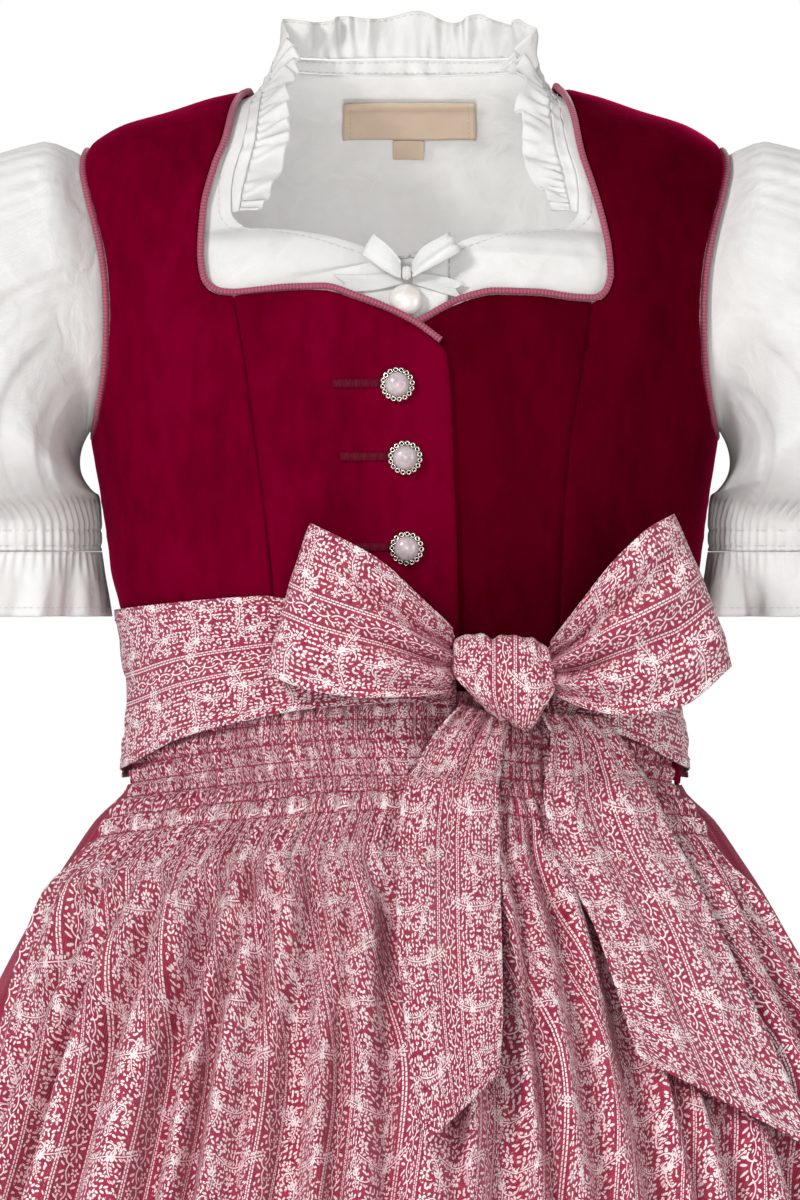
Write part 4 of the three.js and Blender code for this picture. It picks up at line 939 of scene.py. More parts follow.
class DirndlLooks(bpy.types.PropertyGroup):
    """Colours and pattern sizes of the dirndl's cloths"""

    velvet: colour_property("Velvet, right half", "Velvet with its nap up, which is lighter", "64001e")
    # Painted shade: the left half's velvet is a deeper copy of the right half's, for the darker look its nap
    # takes under the light
    velvet_deep: colour_property("Velvet, left half", "Velvet with its nap down, which is deeper", "4c0011")
    cotton: colour_property("Blouse", "Bleached cotton of the blouse", "dbdad8")
    # Painted shade: the cotton's colour in the hollows of its creases
    cotton_shade: colour_property("Blouse, shaded", "Cotton in its creases", "d2d1cf")
    skirt: colour_property("Skirt", "Skirt cloth", "a31740")
    skirt_deep: colour_property("Skirt, deep", "Skirt cloth between its floats", "7d0c30")
    ground: colour_property("Jacquard ground", "Ground of the apron's jacquard", "b32e50")
    ground_deep: colour_property("Jacquard ground, deep", "Deeper threads of the ground", "90123a")
    motif: colour_property("Jacquard motif", "Pale weft of the flowers and vines", "fff0f0")
    piping: colour_property("Piping", "Ribs of the piping", "a04a60")
    # Painted shade: the piping's colour between its ribs
    piping_painted_shade: colour_property("Piping, deep", "Between the ribs of the piping", "862f48")
    ribbon: colour_property("Ribbon", "White satin ribbon", "e8e8e6")
    label: colour_property("Label", "Neck label and size tab", "d6bda4")
    pearl: colour_property("Pearl", "Pearl buttons", "bdb0b2")
    pearl_deep: colour_property("Pearl, deep", "Rosy clouds in the pearl", "a9979c")
    white_pearl: colour_property("White pearl", "The blouse's shank button", "dfd9d4")
    white_pearl_deep: colour_property("White pearl, deep", "Clouds in the blouse's button", "cfc7c3")
    velvet_thread: colour_property("Wine thread", "Buttonholes in the velvet", "62001f")
    rose_thread: colour_property("Rose thread", "Sewing in the apron", "b5405c")
    white_thread: colour_property("White thread", "Sewing in the blouse", "d4d2d0")
    repeat: size_property("Stripe repeat", "Width of one flower stripe and one vine stripe", 0.042)
    band: size_property("Sash width", "Flat width of the sash between its hemmed edges", 0.062)
    ribs: IntProperty(name="Smocking ribs", description="Pleats across the smocked top", default=56, min=8)


# --- Shared by the pieces -----------------------------------------------------------------------------


def named(side):
    return "right" if side == RIGHT else "left"


# Sewing that shows: the length of a stitch, the gap to the next and the thread's radius
STITCHES = {
    "seam": (1.9, 0.8, 0.16),
    "ruffle": (1.7, 0.9, 0.14),
    "label": (1.5, 0.6, 0.16),
    "shirring": (1.6, 0.7, 0.16),
    "frill": (1.7, 0.8, 0.15),
    "skirt": (1.2, 5.2, 0.2),
    "smocking": (1.7, 0.7, 0.26),
    "apron_hem": (1.6, 1.2, 0.16),
    "apron_side": (1.8, 1.2, 0.16),
    "band": (1.7, 1.1, 0.15),
}
THREAD_SIDES = 4


def dress(name, node, parts, material):
    """A piece for a CAD node: a mesh of the parts in its material, with the CAD node hidden"""
    made = make_object(name, parts, MATERIALS[material])
    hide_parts(node)


def flat_places(grid):
    """Places on the flat cut of a grid: across from its middle, and down from its top row"""
    across = along(grid)
    down = along(np.swapaxes(grid, 0, 1)).T
    return np.stack([across - across[:, -1:] / 2, down], -1)


def uneven(place, size, seed):
    """Soft unevenness, mostly from -1 to 1, of about a size, over places of any dimension"""
    dice = np.random.default_rng(seed)
    place = np.asarray(place, float)
    total = 0
    for _ in range(7):
        way = unit(dice.normal(size=place.shape[-1]))
        wave = size * dice.uniform(0.65, 1.7)
        total = total + np.sin(2 * np.pi * (place @ way) / wave + dice.uniform(0, 2 * np.pi))
    return total / 3


def pressed(a, b, rows):
    """Creases between two places each, which stand out by their height and fade at their ends"""
    total = 0
    for row in rows:
        way = np.array([row["toA"] - row["fromA"], row["toB"] - row["fromB"]], float)
        length = np.hypot(*way)
        ahead = ((a - row["fromA"]) * way[0] + (b - row["fromB"]) * way[1]) / length**2
        aside = ((a - row["fromA"]) * way[1] - (b - row["fromB"]) * way[0]) / length
        shown = ramp(ahead, -0.2, 0.25) * (1 - ramp(ahead, 0.7, 1.2))
        total = total + row["height"] * np.exp(-((aside / row["width"]) ** 2)) * shown
    return total


def eased(count):
    """Shares of the way that lie closer together at both ends"""
    t = shares(count)
    return lerp(t, 0.5 - 0.5 * np.cos(np.pi * t), 0.6)


def near_ends(grid, reach):
    """1 at both ends of a grid's rows, fading inwards"""
    way = along(grid)
    return np.exp(-((way / reach) ** 2)) + np.exp(-(((way[:, -1:] - way) / reach) ** 2))


def on_figure(grid, thickness, distance):
    """A wall of cloth whose outer face stands at a distance from the figure"""
    distance = np.broadcast_to(distance, grid.shape[:2])
    return shell(out(grid, distance), out(grid, distance - thickness), flat_places(grid))


def stitches(path, up, kind):
    """Thread that shows along a path, dipping into the cloth at both ends of each stitch"""
    length, gap, radius = STITCHES[kind]
    way = along(path)
    at, lift = through(way, path), through(way, np.broadcast_to(up, path.shape))
    count = max(1, int(way[-1] / (length + gap)))
    rise = radius * (1.6 * np.sin(np.pi * shares(3)) - 0.7)
    parts = []
    for middle in (np.arange(count) + 0.5) * way[-1] / count:
        s = middle + length * (shares(3) - 0.5)
        parts.append(tube(at(s) + lift(s) * rise[:, None], THREAD_SIDES, radius, lift(s)))
    return parts


def sew(name, parts, thread):
    return make_object(name, parts, MATERIALS[thread])



# --- Bodice -------------------------------------------------------------------------------------------

# Front princess seams: distance from the centre on each side
PRINCESS = table(
    "z right left",
    (-77.8, 63, 69.2),
    (-98, 59.4, 66),
    (-127, 55.4, 61.4),
    (-150, 52.4, 58.8),
    (-185, 48.5, 57.2),
    (-228, 47.5, 56.5),
    (WAIST, 49, 58),
)
# The edge of the right front, which laps over the left
LAP = table("z x", (-96.5, 13), (-99.4, 15.2), (-118, 17), (-145, 18), (-182, 19.3), (WAIST, 20.5))
UNDERLAP = -14
LAP_RAISE = 2.8  # the right front stands this much above the left where they lap
TOP_RIGHT = table(
    "x z",
    (-63, -77.8),
    (-54, -77),
    (-42, -76),
    (-30, -76.3),
    (-17.6, -80),
    (-7.6, -83.9),
    (2.5, -89),
    (13, -96.5),
)
TOP_LEFT = table(
    "x z",
    (UNDERLAP, -104),
    (-4, -95),
    (4.1, -89.5),
    (10, -85.9),
    (17.6, -81.7),
    (25.2, -78.8),
    (32.8, -77.4),
    (48.6, -77.8),
    (62.3, -79.6),
    (69.2, -79.9),
)
# Inner edge of the straps, and how far up the armhole, in degrees from the shoulder, each row ends
STRAP = table(
    "rightX rightZ leftX leftZ armhole",
    (63, -77.8, 69.2, -79.9, 103),
    (67.7, -77.4, 72.4, -78.9, 98),
    (72.4, -75.2, 75.6, -75.2, 92),
    (75.2, -71.4, 77, -69.5, 86),
    (76.5, -62, 76.3, -60, 76),
    (75.6, -46.8, 74.5, -51, 63),
    (71.3, -28.8, 70.7, -37.3, 48),
    (67.7, -19.8, 66.2, -23.4, 35),
)
NECK_POINT = {RIGHT: 59.4, LEFT: 57.6}
SHOULDER = table("share armhole", (0.66, 23), (0.33, 11), (0, 0))
# The armhole: an egg, fuller below. Angles run from the shoulder round to the underarm.
ARMHOLE = {"centre": -76, "rise": 55, "depth": 39, "fullness": 0.26}
UNDERARM = ARMHOLE["centre"] - ARMHOLE["rise"]
SIDE_ROWS = table(
    "seam flank armhole",
    (WAIST + SEAM, WAIST + SEAM, None),
    (-228, -228, None),
    (-192, -192, None),
    (-160, -158, None),
    (-136, UNDERARM, None),
    (-120, None, 162),
    (-107, None, 145),
    (-94, None, 129),
    (-84, None, 114),
)
LAP_SLOPES = {"rises": -48, "risen": -27, "falls": 22, "fallen": 44}
BACK_NECK = table(
    "x z armhole", (0, -42, 82), (16, -40.5, 74), (32, -35, 64), (44, -26, 50), (51, -16, 34), (55, -8, 17)
)
BELOW_NECK = {"z": -64, "armhole": 98}
# Soft drags in the velvet, as places across and up: from the bust to the armhole, over the waist and round
# the buttons
VELVET_DRAGS = table(
    "fromA fromB toA toB width height",
    (-58, -112, -98, -128, 5, 0.9),
    (-60, -124, -99, -146, 6, -0.8),
    (62, -108, 97, -124, 5, 0.8),
    (62, -122, 95, -150, 7, -0.8),
    (-46, -166, -20, -171, 4, 0.5),
    (-44, -136, -22, -138, 4, -0.5),
    (-90, -176, -62, -183, 5, 0.7),
    (92, -172, 66, -181, 5, 0.8),
    (24, -128, 52, -134, 5, 0.5),
    (24, -158, 50, -165, 5, -0.5),
    (-38, -94, -32, -134, 8, 0.5),
    (40, -92, 37, -128, 7, -0.4),
)


def armhole(side, degrees, face, inset=0.0):
    turn = np.radians(degrees)
    widen = 1 - ARMHOLE["fullness"] * np.cos(turn)
    y = (ARMHOLE["depth"] - inset) * np.sin(turn) * widen
    z = ARMHOLE["centre"] + (ARMHOLE["rise"] - inset) * np.cos(turn)
    return on_flank(side, face * np.maximum(y, SEAM / 2), z)


def side_seam(side, face, z):
    return on_flank(side, face * SEAM / 2, z)


def side_end(side, face, z, degrees, inset=0.0):
    """Where a row ends at the side: on the side seam, or above it on the armhole"""
    return side_seam(side, face, z) if degrees is None else armhole(side, degrees, face, inset)


def side_front(side):
    """Ends of the rows of a side front: its princess seam and strap edge, and the side seam and armhole"""
    key = named(side)
    seam = smooth(PRINCESS, "z", key)
    ends = []
    for row in SIDE_ROWS:
        outer = side_end(side, FRONT, row["flank"], row["armhole"])
        ends.append((on_face(FRONT, side * (seam(row["seam"]) + SEAM / 2), row["seam"]), outer))
    for row in STRAP:
        x = row[key + "X"] + (SEAM / 2 if row is STRAP[0] else 0)
        ends.append((on_face(FRONT, side * x, row[key + "Z"]), armhole(side, row["armhole"], FRONT)))
    last = ends[-1][0]
    for row in SHOULDER:
        x = side * lerp(NECK_POINT[side], abs(last[0]), row["share"])
        y = min(last[1] * row["share"], -SEAM / 2)
        ends.append((over_shoulder(x, y), armhole(side, row["armhole"], FRONT)))
    return ends


def back_half(side):
    ends = []
    for row in SIDE_ROWS:
        outer = side_end(side, BACK, row["flank"], row["armhole"])
        ends.append((on_face(BACK, side * SEAM / 2, row["seam"]), outer))
    ends.append((on_face(BACK, side * SEAM / 2, BELOW_NECK["z"]), armhole(side, BELOW_NECK["armhole"], BACK)))
    for row in BACK_NECK:
        x = side * max(row["x"], SEAM / 2)
        ends.append((on_face(BACK, x, row["z"]), armhole(side, row["armhole"], BACK)))
    ends.append((over_shoulder(side * NECK_POINT[side], SEAM / 2), armhole(side, 0, BACK)))
    return ends


def lap_raise(x):
    return LAP_RAISE * ramp(x, LAP_SLOPES["rises"], LAP_SLOPES["risen"])


def lap_raise_over(x):
    """The same, with what lies over the lap on both sides of it"""
    return np.minimum(lap_raise(x), LAP_RAISE * (1 - ramp(x, LAP_SLOPES["falls"], LAP_SLOPES["fallen"])))


def centre_front(side, columns, rows):
    """A grid of a centre front: from the princess seam to the lap, or from under it to the other seam"""
    top = TOP_RIGHT if side == RIGHT else TOP_LEFT
    seam, lap = smooth(PRINCESS, "z", named(side)), smooth(LAP, "z", "x")
    first, last = top[0]["x"], top[-1]["x"]
    share = eased(columns)[None, :]
    z = lerp(WAIST + SEAM, smooth(top, "x", "z")(lerp(first, last, share)), eased(rows)[:, None])
    begin = -seam(z) + SEAM / 2 if side == RIGHT else np.full(z.shape, float(UNDERLAP))
    end = lap(z) if side == RIGHT else seam(z) - SEAM / 2
    return on_face(FRONT, lerp(begin, end, share), z)


def velvet_hang(grid, face):
    """How the velvet stands off the figure: rolled into its seams, puckered along them, with soft drags"""
    x, z = grid[..., 0], grid[..., 2]
    pucker = 0.22 * near_ends(grid, 5) * uneven(pair(z, 0 * z), 8, 11)
    soft = 0.35 * uneven(grid * [1, 0.6, 0.5], 46, 5)
    drags = pressed(x, z, VELVET_DRAGS) if face == FRONT else 0.3 * uneven(grid * [0.5, 1, 1], 34, 9)
    rolled = -0.9 * near_ends(grid, 1.5) - 0.7 * near_ends(np.swapaxes(grid, 0, 1), 1.3).T
    return rolled + pucker + soft + drags


class DIRNDL_OT_bodice(bpy.types.Operator):
    """Velvet side fronts, lapped centre fronts and back halves"""

    bl_idname = "dirndl.bodice"
    bl_label = "Velvet bodice"

    def execute(self, context):
        for side in (RIGHT, LEFT):
            key = named(side)
            # The left half wears the deeper velvet copy, which is painted shade
            velvet = f"velvet_{key}"
            grid = span(side_front(side), 2.4, eased(26))
            parts = [on_figure(grid, VELVET_WALL, velvet_hang(grid, FRONT))]
            dress(f"side_front_{key}_velvet", f"front_side_{key}", parts, velvet)
            grid = centre_front(side, 34, 72)
            raised = lap_raise(grid[..., 0]) if side == RIGHT else 0
            parts = [on_figure(grid, VELVET_WALL, velvet_hang(grid, FRONT) + raised)]
            dress(f"centre_front_{key}_velvet", f"front_center_{key}", parts, velvet)
            grid = span(back_half(side), 2.4, eased(40))
            parts = [on_figure(grid, VELVET_WALL, velvet_hang(grid, BACK))]
            dress(f"back_{key}_velvet", f"bodice_back_{key}", parts, velvet)
        return {"FINISHED"}


# --- Piping -------------------------------------------------------------------------------------------

CORD = 1.25  # radius of the piping
CORD_SIDES = 7
CORD_STEP = 0.42  # between its rings
RIB = {"depth": 0.2, "pitch": 1.25}
LAP_END = 1.2  # the piping stops this far short of the lap's edge
SHOULDER_END = 0.8  # and this far from the shoulder seam


def beside(edge, turn, raised=0.0):
    """A path beside an edge of the bodice, on the side away from the cloth, in the middle of the wall"""
    edge = np.asarray(edge)
    after, before = np.roll(edge, -1, 0), np.roll(edge, 1, 0)
    after[-1], before[0] = edge[-1], edge[0]
    away = unit(np.cross(after - before, unit(slope_of(edge)))) * turn
    return out(edge + away * (CORD + SEAM), np.asarray(raised) - VELVET / 2 + np.zeros(len(edge)))


def ribbed(path):
    """The radii of a cord with rounded ribs of twisted thread round it"""
    return CORD * (1 + RIB["depth"] * (np.abs(np.cos(np.pi * along(path) / RIB["pitch"])) - 0.6))


def rope(path):
    path = line(path, CORD_STEP)
    return tube(path, CORD_SIDES, ribbed(path), unit(slope_of(path)))


def inner_edge(ends):
    """The neckline: the inner ends of the rows above the side seam's"""
    return [inner for inner, _ in ends[len(SIDE_ROWS) + 1 :]]


class DIRNDL_OT_piping(bpy.types.Operator):
    """Ribbed cord round the neckline and the armholes"""

    bl_idname = "dirndl.piping"
    bl_label = "Piping"

    def execute(self, context):
        for side in (RIGHT, LEFT):
            key = named(side)
            top = TOP_RIGHT[::-1] if side == RIGHT else TOP_LEFT[1:]
            edge = [on_face(FRONT, row["x"], row["z"]) for row in top]
            if side == RIGHT:
                edge[0] = lerp(edge[0], edge[1], LAP_END / np.linalg.norm(edge[0] - edge[1]))
            edge = np.array(edge + inner_edge(side_front(side)))
            path = beside(edge, -side, lap_raise(edge[:, 0]) if side == RIGHT else 0)
            path[-1, 1] = -SHOULDER_END
            dress(f"neck_cord_{key}", f"piping_neck_{key}", [rope(path)], "piping")
            fore = armhole(side, np.arange(0, 180, 1.0), FRONT, CORD + SEAM)
            rear = armhole(side, np.arange(180, 0, -1.0), BACK, CORD + SEAM)
            ring = np.concatenate([fore, rear])
            ring[[0, 180], 1] = 0
            ring = out(ring, np.full(len(ring), -VELVET / 2))
            path = line(np.concatenate([ring, ring[:1]]), CORD_STEP)[:-1]
            cord = ring_tube(path, CORD_SIDES, ribbed(path), unit(slope_of(path)))
            dress(f"armhole_cord_{key}", f"piping_armhole_{key}", [cord], "piping")
        right, left = (inner_edge(back_half(side)) for side in (RIGHT, LEFT))
        path = beside(np.array(right[::-1] + left[1:]), 1)
        path[[0, -1], 1] = SHOULDER_END
        dress("neck_cord_back", "piping_neck_back", [rope(path)], "piping")
        return {"FINISHED"}


# --- Buttons and buttonholes --------------------------------------------------------------------------

BUTTONS = table("x z", (-2.7, -110.5), (0.1, -137), (0.6, -170))
PEARL = table(
    "radius height",
    (0, 1.3),
    (3.6, 1.3),
    (4.25, 1.7),
    (4.5, 2.3),
    (4.35, 3.0),
    (3.8, 3.75),
    (2.9, 4.4),
    (1.5, 4.95),
    (0, 5.1),
)
SETTING = table(
    "radius height", (0, 0), (5.4, 0), (5.9, 0.3), (5.9, 0.9), (5.3, 1.25), (4.75, 1.4), (4.7, 1.0), (0, 1.0)
)
# Open beads round a setting: how many, how far out and up, how they lean, their own radius and thickness
BEADS = {"count": 16, "ring": 5.35, "height": 1.75, "lean": 0.35, "radius": 0.74, "thick": 0.34}
BEZEL = {"height": 1.9, "radius": 4.4, "thick": 0.28}


def seated(part, x, z, distance):
    """A part about +Z set on the figure with its axis along the figure's normal"""
    points, faces, flat = part
    p = on_face(FRONT, x, z)
    normal = unit(slope_of(p))
    turn = Vector((0, 0, 1)).rotation_difference(Vector(normal)).to_matrix()
    return points @ np.array(turn).T + out(p, distance), faces, flat


def torus(centre, axis, radius, thick, count=18):
    """A small ring about an axis"""
    axis = unit(np.asarray(axis, float))
    first = unit(np.cross(axis, [0.3, 0.1, 1]))
    second = np.cross(axis, first)
    turn = 2 * np.pi * np.arange(count)[:, None] / count
    path = centre + radius * (np.cos(turn) * first + np.sin(turn) * second)
    return ring_tube(path, 8, thick, np.broadcast_to(axis, path.shape))


class DIRNDL_OT_buttons(bpy.types.Operator):
    """Pearls in settings of open beads, and a shank pearl on the blouse"""

    bl_idname = "dirndl.buttons"
    bl_label = "Buttons"

    def execute(self, context):
        for i, row in enumerate(BUTTONS, 1):
            place = (row["x"], row["z"], LAP_RAISE + SEAM)
            parts = [seated(turned(SETTING, 48), *place)]
            for turn in 2 * np.pi * (np.arange(BEADS["count"]) + 0.3 * i) / BEADS["count"]:
                outward = np.array([math.cos(turn), math.sin(turn), 0])
                centre = outward * BEADS["ring"] + [0, 0, BEADS["height"]]
                bead = torus(centre, outward * BEADS["lean"] + [0, 0, 1], BEADS["radius"], BEADS["thick"])
                parts.append(seated(bead, *place))
            bezel = torus([0, 0, BEZEL["height"]], [0, 0, 1], BEZEL["radius"], BEZEL["thick"], 48)
            parts.append(seated(bezel, *place))
            dress(f"setting_{i}", f"button_{i}_setting", parts, "silver")
            dress(f"pearl_{i}", f"button_{i}_pearl", [seated(turned(PEARL, 48), *place)], "pearl")
        shank = seated(turned(SHANK_PEARL, 56), BLOUSE_BUTTON["x"], BLOUSE_BUTTON["z"], BLOUSE + SEAM)
        dress("shank_pearl", "blouse_button", [shank], "white_pearl")
        return {"FINISHED"}


class DIRNDL_OT_buttonholes(bpy.types.Operator):
    """Buttonholes worked in thread, from each button towards the wearer's right"""

    bl_idname = "dirndl.buttonholes"
    bl_label = "Buttonholes"

    def execute(self, context):
        parts = []
        for i, row in enumerate(BUTTONS):
            for k, x in enumerate(np.arange(row["x"] - 23, row["x"] - 5, 0.52)):
                swing = 0.12 * math.sin(2.3 * k + i)
                height = 1.5 + 0.1 * math.sin(1.7 * k)
                z = row["z"] + 0.35 + swing + height * np.linspace(-1, 1, 6)
                p = on_face(FRONT, np.full(6, x + 0.1 * math.sin(k)), z)
                lifted = lap_raise(x) + 0.15 + 0.3 * np.sin(np.pi * shares(5))
                parts.append(tube(out(p, lifted), 6, 0.3, unit(slope_of(p))))
        make_object("buttonholes", parts, MATERIALS["wine_thread"])
        return {"FINISHED"}


# --- Blouse -------------------------------------------------------------------------------------------

BLOUSE = -VELVET - 1.65  # its outer face, from the figure
BLOUSE_HEM = -150
BLOUSE_NECK = 56.2  # where the ruffle's seam crosses the shoulder
ARMHOLE_INSET = 2 * CORD + SEAM + 0.4
BLOUSE_BUTTON = {"x": 0.4, "z": -79.3}
SHANK_PEARL = table(
    "radius height",
    (0, 0),
    (2.8, 0),
    (3.9, 0.25),
    (5.1, 1.0),
    (5.8, 1.9),
    (6, 2.7),
    (5.75, 3.6),
    (4.9, 4.6),
    (3.6, 5.4),
    (1.8, 6),
    (0, 6.2),
)
# Seam of the neck ruffle up the strap and over the shoulder, how far the ruffle's free edge stands in from it
# and rises above it, and where the blouse's row ends on the armhole
RUFFLE_SEAM = table(
    "x z inward rise armhole",
    (64.3, -46, 10, 1.5, 69),
    (64.4, -39, 15, 3, 59),
    (63.4, -31, 18.5, 4, 48),
    (60.6, -22, 17.5, 6, 36),
    (58.6, -12.4, 15.5, 8.5, 24),
)
BLOUSE_SHOULDER = table(
    "x y inward rise armhole",
    (57.3, -22, 14.3, 10, 15),
    (56.4, -10, 13.4, 11, 7),
    (BLOUSE_NECK, -SEAM / 2, 12.7, 12.5, 0),
)
BLOUSE_TOP = {
    RIGHT: table(
        "x z armhole",
        (15.8, -58.4, 115),
        (2.6, -63, 98),
        (-14, -58.9, 86),
        (-31, -54.3, 77),
        (-46, -52.3, 75),
        (-58, -51.9, 73),
    ),
    LEFT: table(
        "x z armhole", (8, -61.5, 84), (18.3, -57.4, 82), (28, -54.4, 79), (41.4, -53, 76), (57, -52.2, 73)
    ),
}
BLOUSE_ROWS = table("lap armhole", (BLOUSE_HEM, None), (-128, 168), (-104, 144), (-80, 128))
BACK_COLLAR = 6
BLOUSE_BACK = table(
    "centre between armhole",
    (BLOUSE_HEM, BLOUSE_HEM, None),
    (-120, -122, 158),
    (-90, -92, 115),
    (-60, -62, 85),
    (-38, -40, 62),
    (-22, -24, 42),
    (-9, -11, 20),
    (BACK_COLLAR, None, 0),
)
UNDER_BLOUSE = COTTON + 0.8
BLOUSE_EASE = {"amount": 1.8, "full": -120, "none": -95}
UNDER_EDGE = {"full": 17, "none": 27}
COTTON_CREASES = table(
    "fromA fromB toA toB width height",
    (-52, -57, -40, -72, 2.6, 0.7),
    (-36, -58, -30, -75, 2.4, -0.5),
    (-60, -62, -47, -76, 2.2, -0.5),
    (-18, -64, -15, -79, 2.4, 0.5),
    (18, -62, 26, -78, 2.6, 0.6),
    (34, -57, 40, -76, 2.4, -0.5),
    (50, -56, 46, -75, 2.4, 0.7),
    (60, -60, 54, -76, 2.2, -0.5),
)


def blouse_armhole(side, degrees, face):
    return armhole(side, degrees, face, ARMHOLE_INSET)


def blouse_front(side):
    top = BLOUSE_TOP[side]
    ends = []
    for row in BLOUSE_ROWS:
        outer = side_end(side, FRONT, row["lap"], row["armhole"], ARMHOLE_INSET)
        ends.append((on_face(FRONT, top[0]["x"], row["lap"]), outer))
    for row in top:
        ends.append((on_face(FRONT, row["x"], row["z"]), blouse_armhole(side, row["armhole"], FRONT)))
    for row in RUFFLE_SEAM:
        ends.append((on_face(FRONT, side * row["x"], row["z"]), blouse_armhole(side, row["armhole"], FRONT)))
    for row in BLOUSE_SHOULDER:
        ends.append((over_shoulder(side * row["x"], row["y"]), blouse_armhole(side, row["armhole"], FRONT)))
    return ends


def on_blouse(p):
    return BLOUSE - BLOUSE_EASE["amount"] * (1 - ramp(p[..., 2], BLOUSE_EASE["full"], BLOUSE_EASE["none"]))


def under_lap(p):
    return on_blouse(p) - UNDER_BLOUSE * (1 - ramp(p[..., 0], UNDER_EDGE["full"], UNDER_EDGE["none"]))


def blouse_back_ends():
    """Rows of the blouse's back: its right end, the anchors below the neck on both sides and the middle"""
    rows = []
    for row in BLOUSE_BACK:
        middle = on_face(BACK, 0, row["centre"])
        ends = []
        for side in (LEFT, RIGHT):
            if row["between"] is None:
                anchor = over_shoulder(side * BLOUSE_NECK, SEAM / 2)
            else:
                anchor = on_face(BACK, side * BLOUSE_NECK, row["between"])
            ends.append((side_end(side, BACK, row["centre"], row["armhole"], ARMHOLE_INSET), anchor))
        rows.append((*ends[0], middle, *ends[1][::-1]))
    return rows


def even_neck(grid):
    """A grid without the pinched rows where the shoulders turn up into the neck"""
    for _ in range(14):
        soft = grid.copy()
        soft[1:-1] = (grid[:-2] + 2 * grid[1:-1] + grid[2:]) / 4
        grid = lerp(grid, soft, ramp(grid[..., 2:], -26, -12))
    return grid


class DIRNDL_OT_blouse(bpy.types.Operator):
    """Cotton fronts with a narrow stitched hem along the neckline, and the back"""

    bl_idname = "dirndl.blouse"
    bl_label = "Blouse"

    def execute(self, context):
        for side in (RIGHT, LEFT):
            key = named(side)
            grid = span(blouse_front(side), 1.8, eased(44))
            base = on_blouse(grid) if side == RIGHT else under_lap(grid)
            soft = pressed(grid[..., 0], grid[..., 2], COTTON_CREASES) * 0.6
            soft = soft + 0.22 * uneven(grid, 19, 31 + side)
            hem = 0.45 * (1 - ramp(along(grid), 4.2, 4.8))
            distance = base + np.minimum(soft, 0.45) + hem
            path = line(out(grid, distance)[:, 6], 1.0)
            sewing = sew(f"front_hem_{key}", stitches(path, unit(slope_of(path)), "seam"), "white_thread")
            parts = [on_figure(grid, BLOUSE_WALL, distance)]
            name = f"blouse_front_{key}"
            dress(f"{name}_cotton", name, parts, "cotton")
        lines = np.swapaxes(np.array(blouse_back_ends()), 0, 1)
        pieces = [span(list(zip(*ends)), 2.8, shares(20)) for ends in zip(lines[:-1], lines[1:])]
        count = min(len(piece) for piece in pieces)
        pieces = [piece[np.linspace(0, len(piece) - 1, count).round().astype(int)] for piece in pieces]
        grid = np.concatenate([pieces[0]] + [piece[:, 1:] for piece in pieces[1:]], 1)
        distance = on_blouse(grid) + 0.2 * uneven(grid, 24, 41)
        outer, inner = (even_neck(out(grid, distance - wall)) for wall in (0, BLOUSE_WALL))
        parts = [shell(outer, inner, flat_places(grid))]
        dress("blouse_back_cotton", "blouse_back", parts, "cotton")
        return {"FINISHED"}


# --- Collar -------------------------------------------------------------------------------------------

RUFFLE = {"waves": 16, "depth": 2.2, "backRise": 23, "backLean": -0.02, "sideLean": 0.2, "backTilt": 1}
BAND_SHARE = 0.26  # the band takes this much of the ruffle's height


def blouse_middle(p):
    return out(p, np.full(np.shape(p)[:-1], BLOUSE - COTTON / 2))


def ruffle_side(side):
    stations = []
    for row in RUFFLE_SEAM + BLOUSE_SHOULDER:
        x = side * row["x"]
        seam = blouse_middle(on_face(FRONT, x, row["z"]) if "z" in row else over_shoulder(x, row["y"]))
        stations.append((seam, seam + [-side * row["inward"], 0, row["rise"]]))
    begin, end = over_shoulder(side * BLOUSE_NECK, SEAM / 2), on_face(BACK, 0, BACK_COLLAR)
    for t in (0.2, 0.4, 0.6, 0.8):
        seam = blouse_middle(settle(lerp(begin, end, t)))
        lean = lerp(RUFFLE["sideLean"], RUFFLE["backLean"], math.sqrt(t))
        rise = lerp(BLOUSE_SHOULDER[-1]["rise"], RUFFLE["backRise"], math.sqrt(t))
        stations.append((seam, seam * [1 - lean, 1 - lean, 1] + [0, 0, rise]))
    return stations


def collar_curves():
    middle = blouse_middle(on_face(BACK, 0, BACK_COLLAR))
    back = (middle, middle + [0, RUFFLE["backTilt"], RUFFLE["backRise"]])
    stations = ruffle_side(RIGHT) + [back] + ruffle_side(LEFT)[::-1]
    number = np.arange(len(stations))
    curves = [through(number, np.array([s[k] for s in stations])) for k in (0, 1)]
    return lambda t: [curve(np.asarray(t) * number[-1]) for curve in curves]


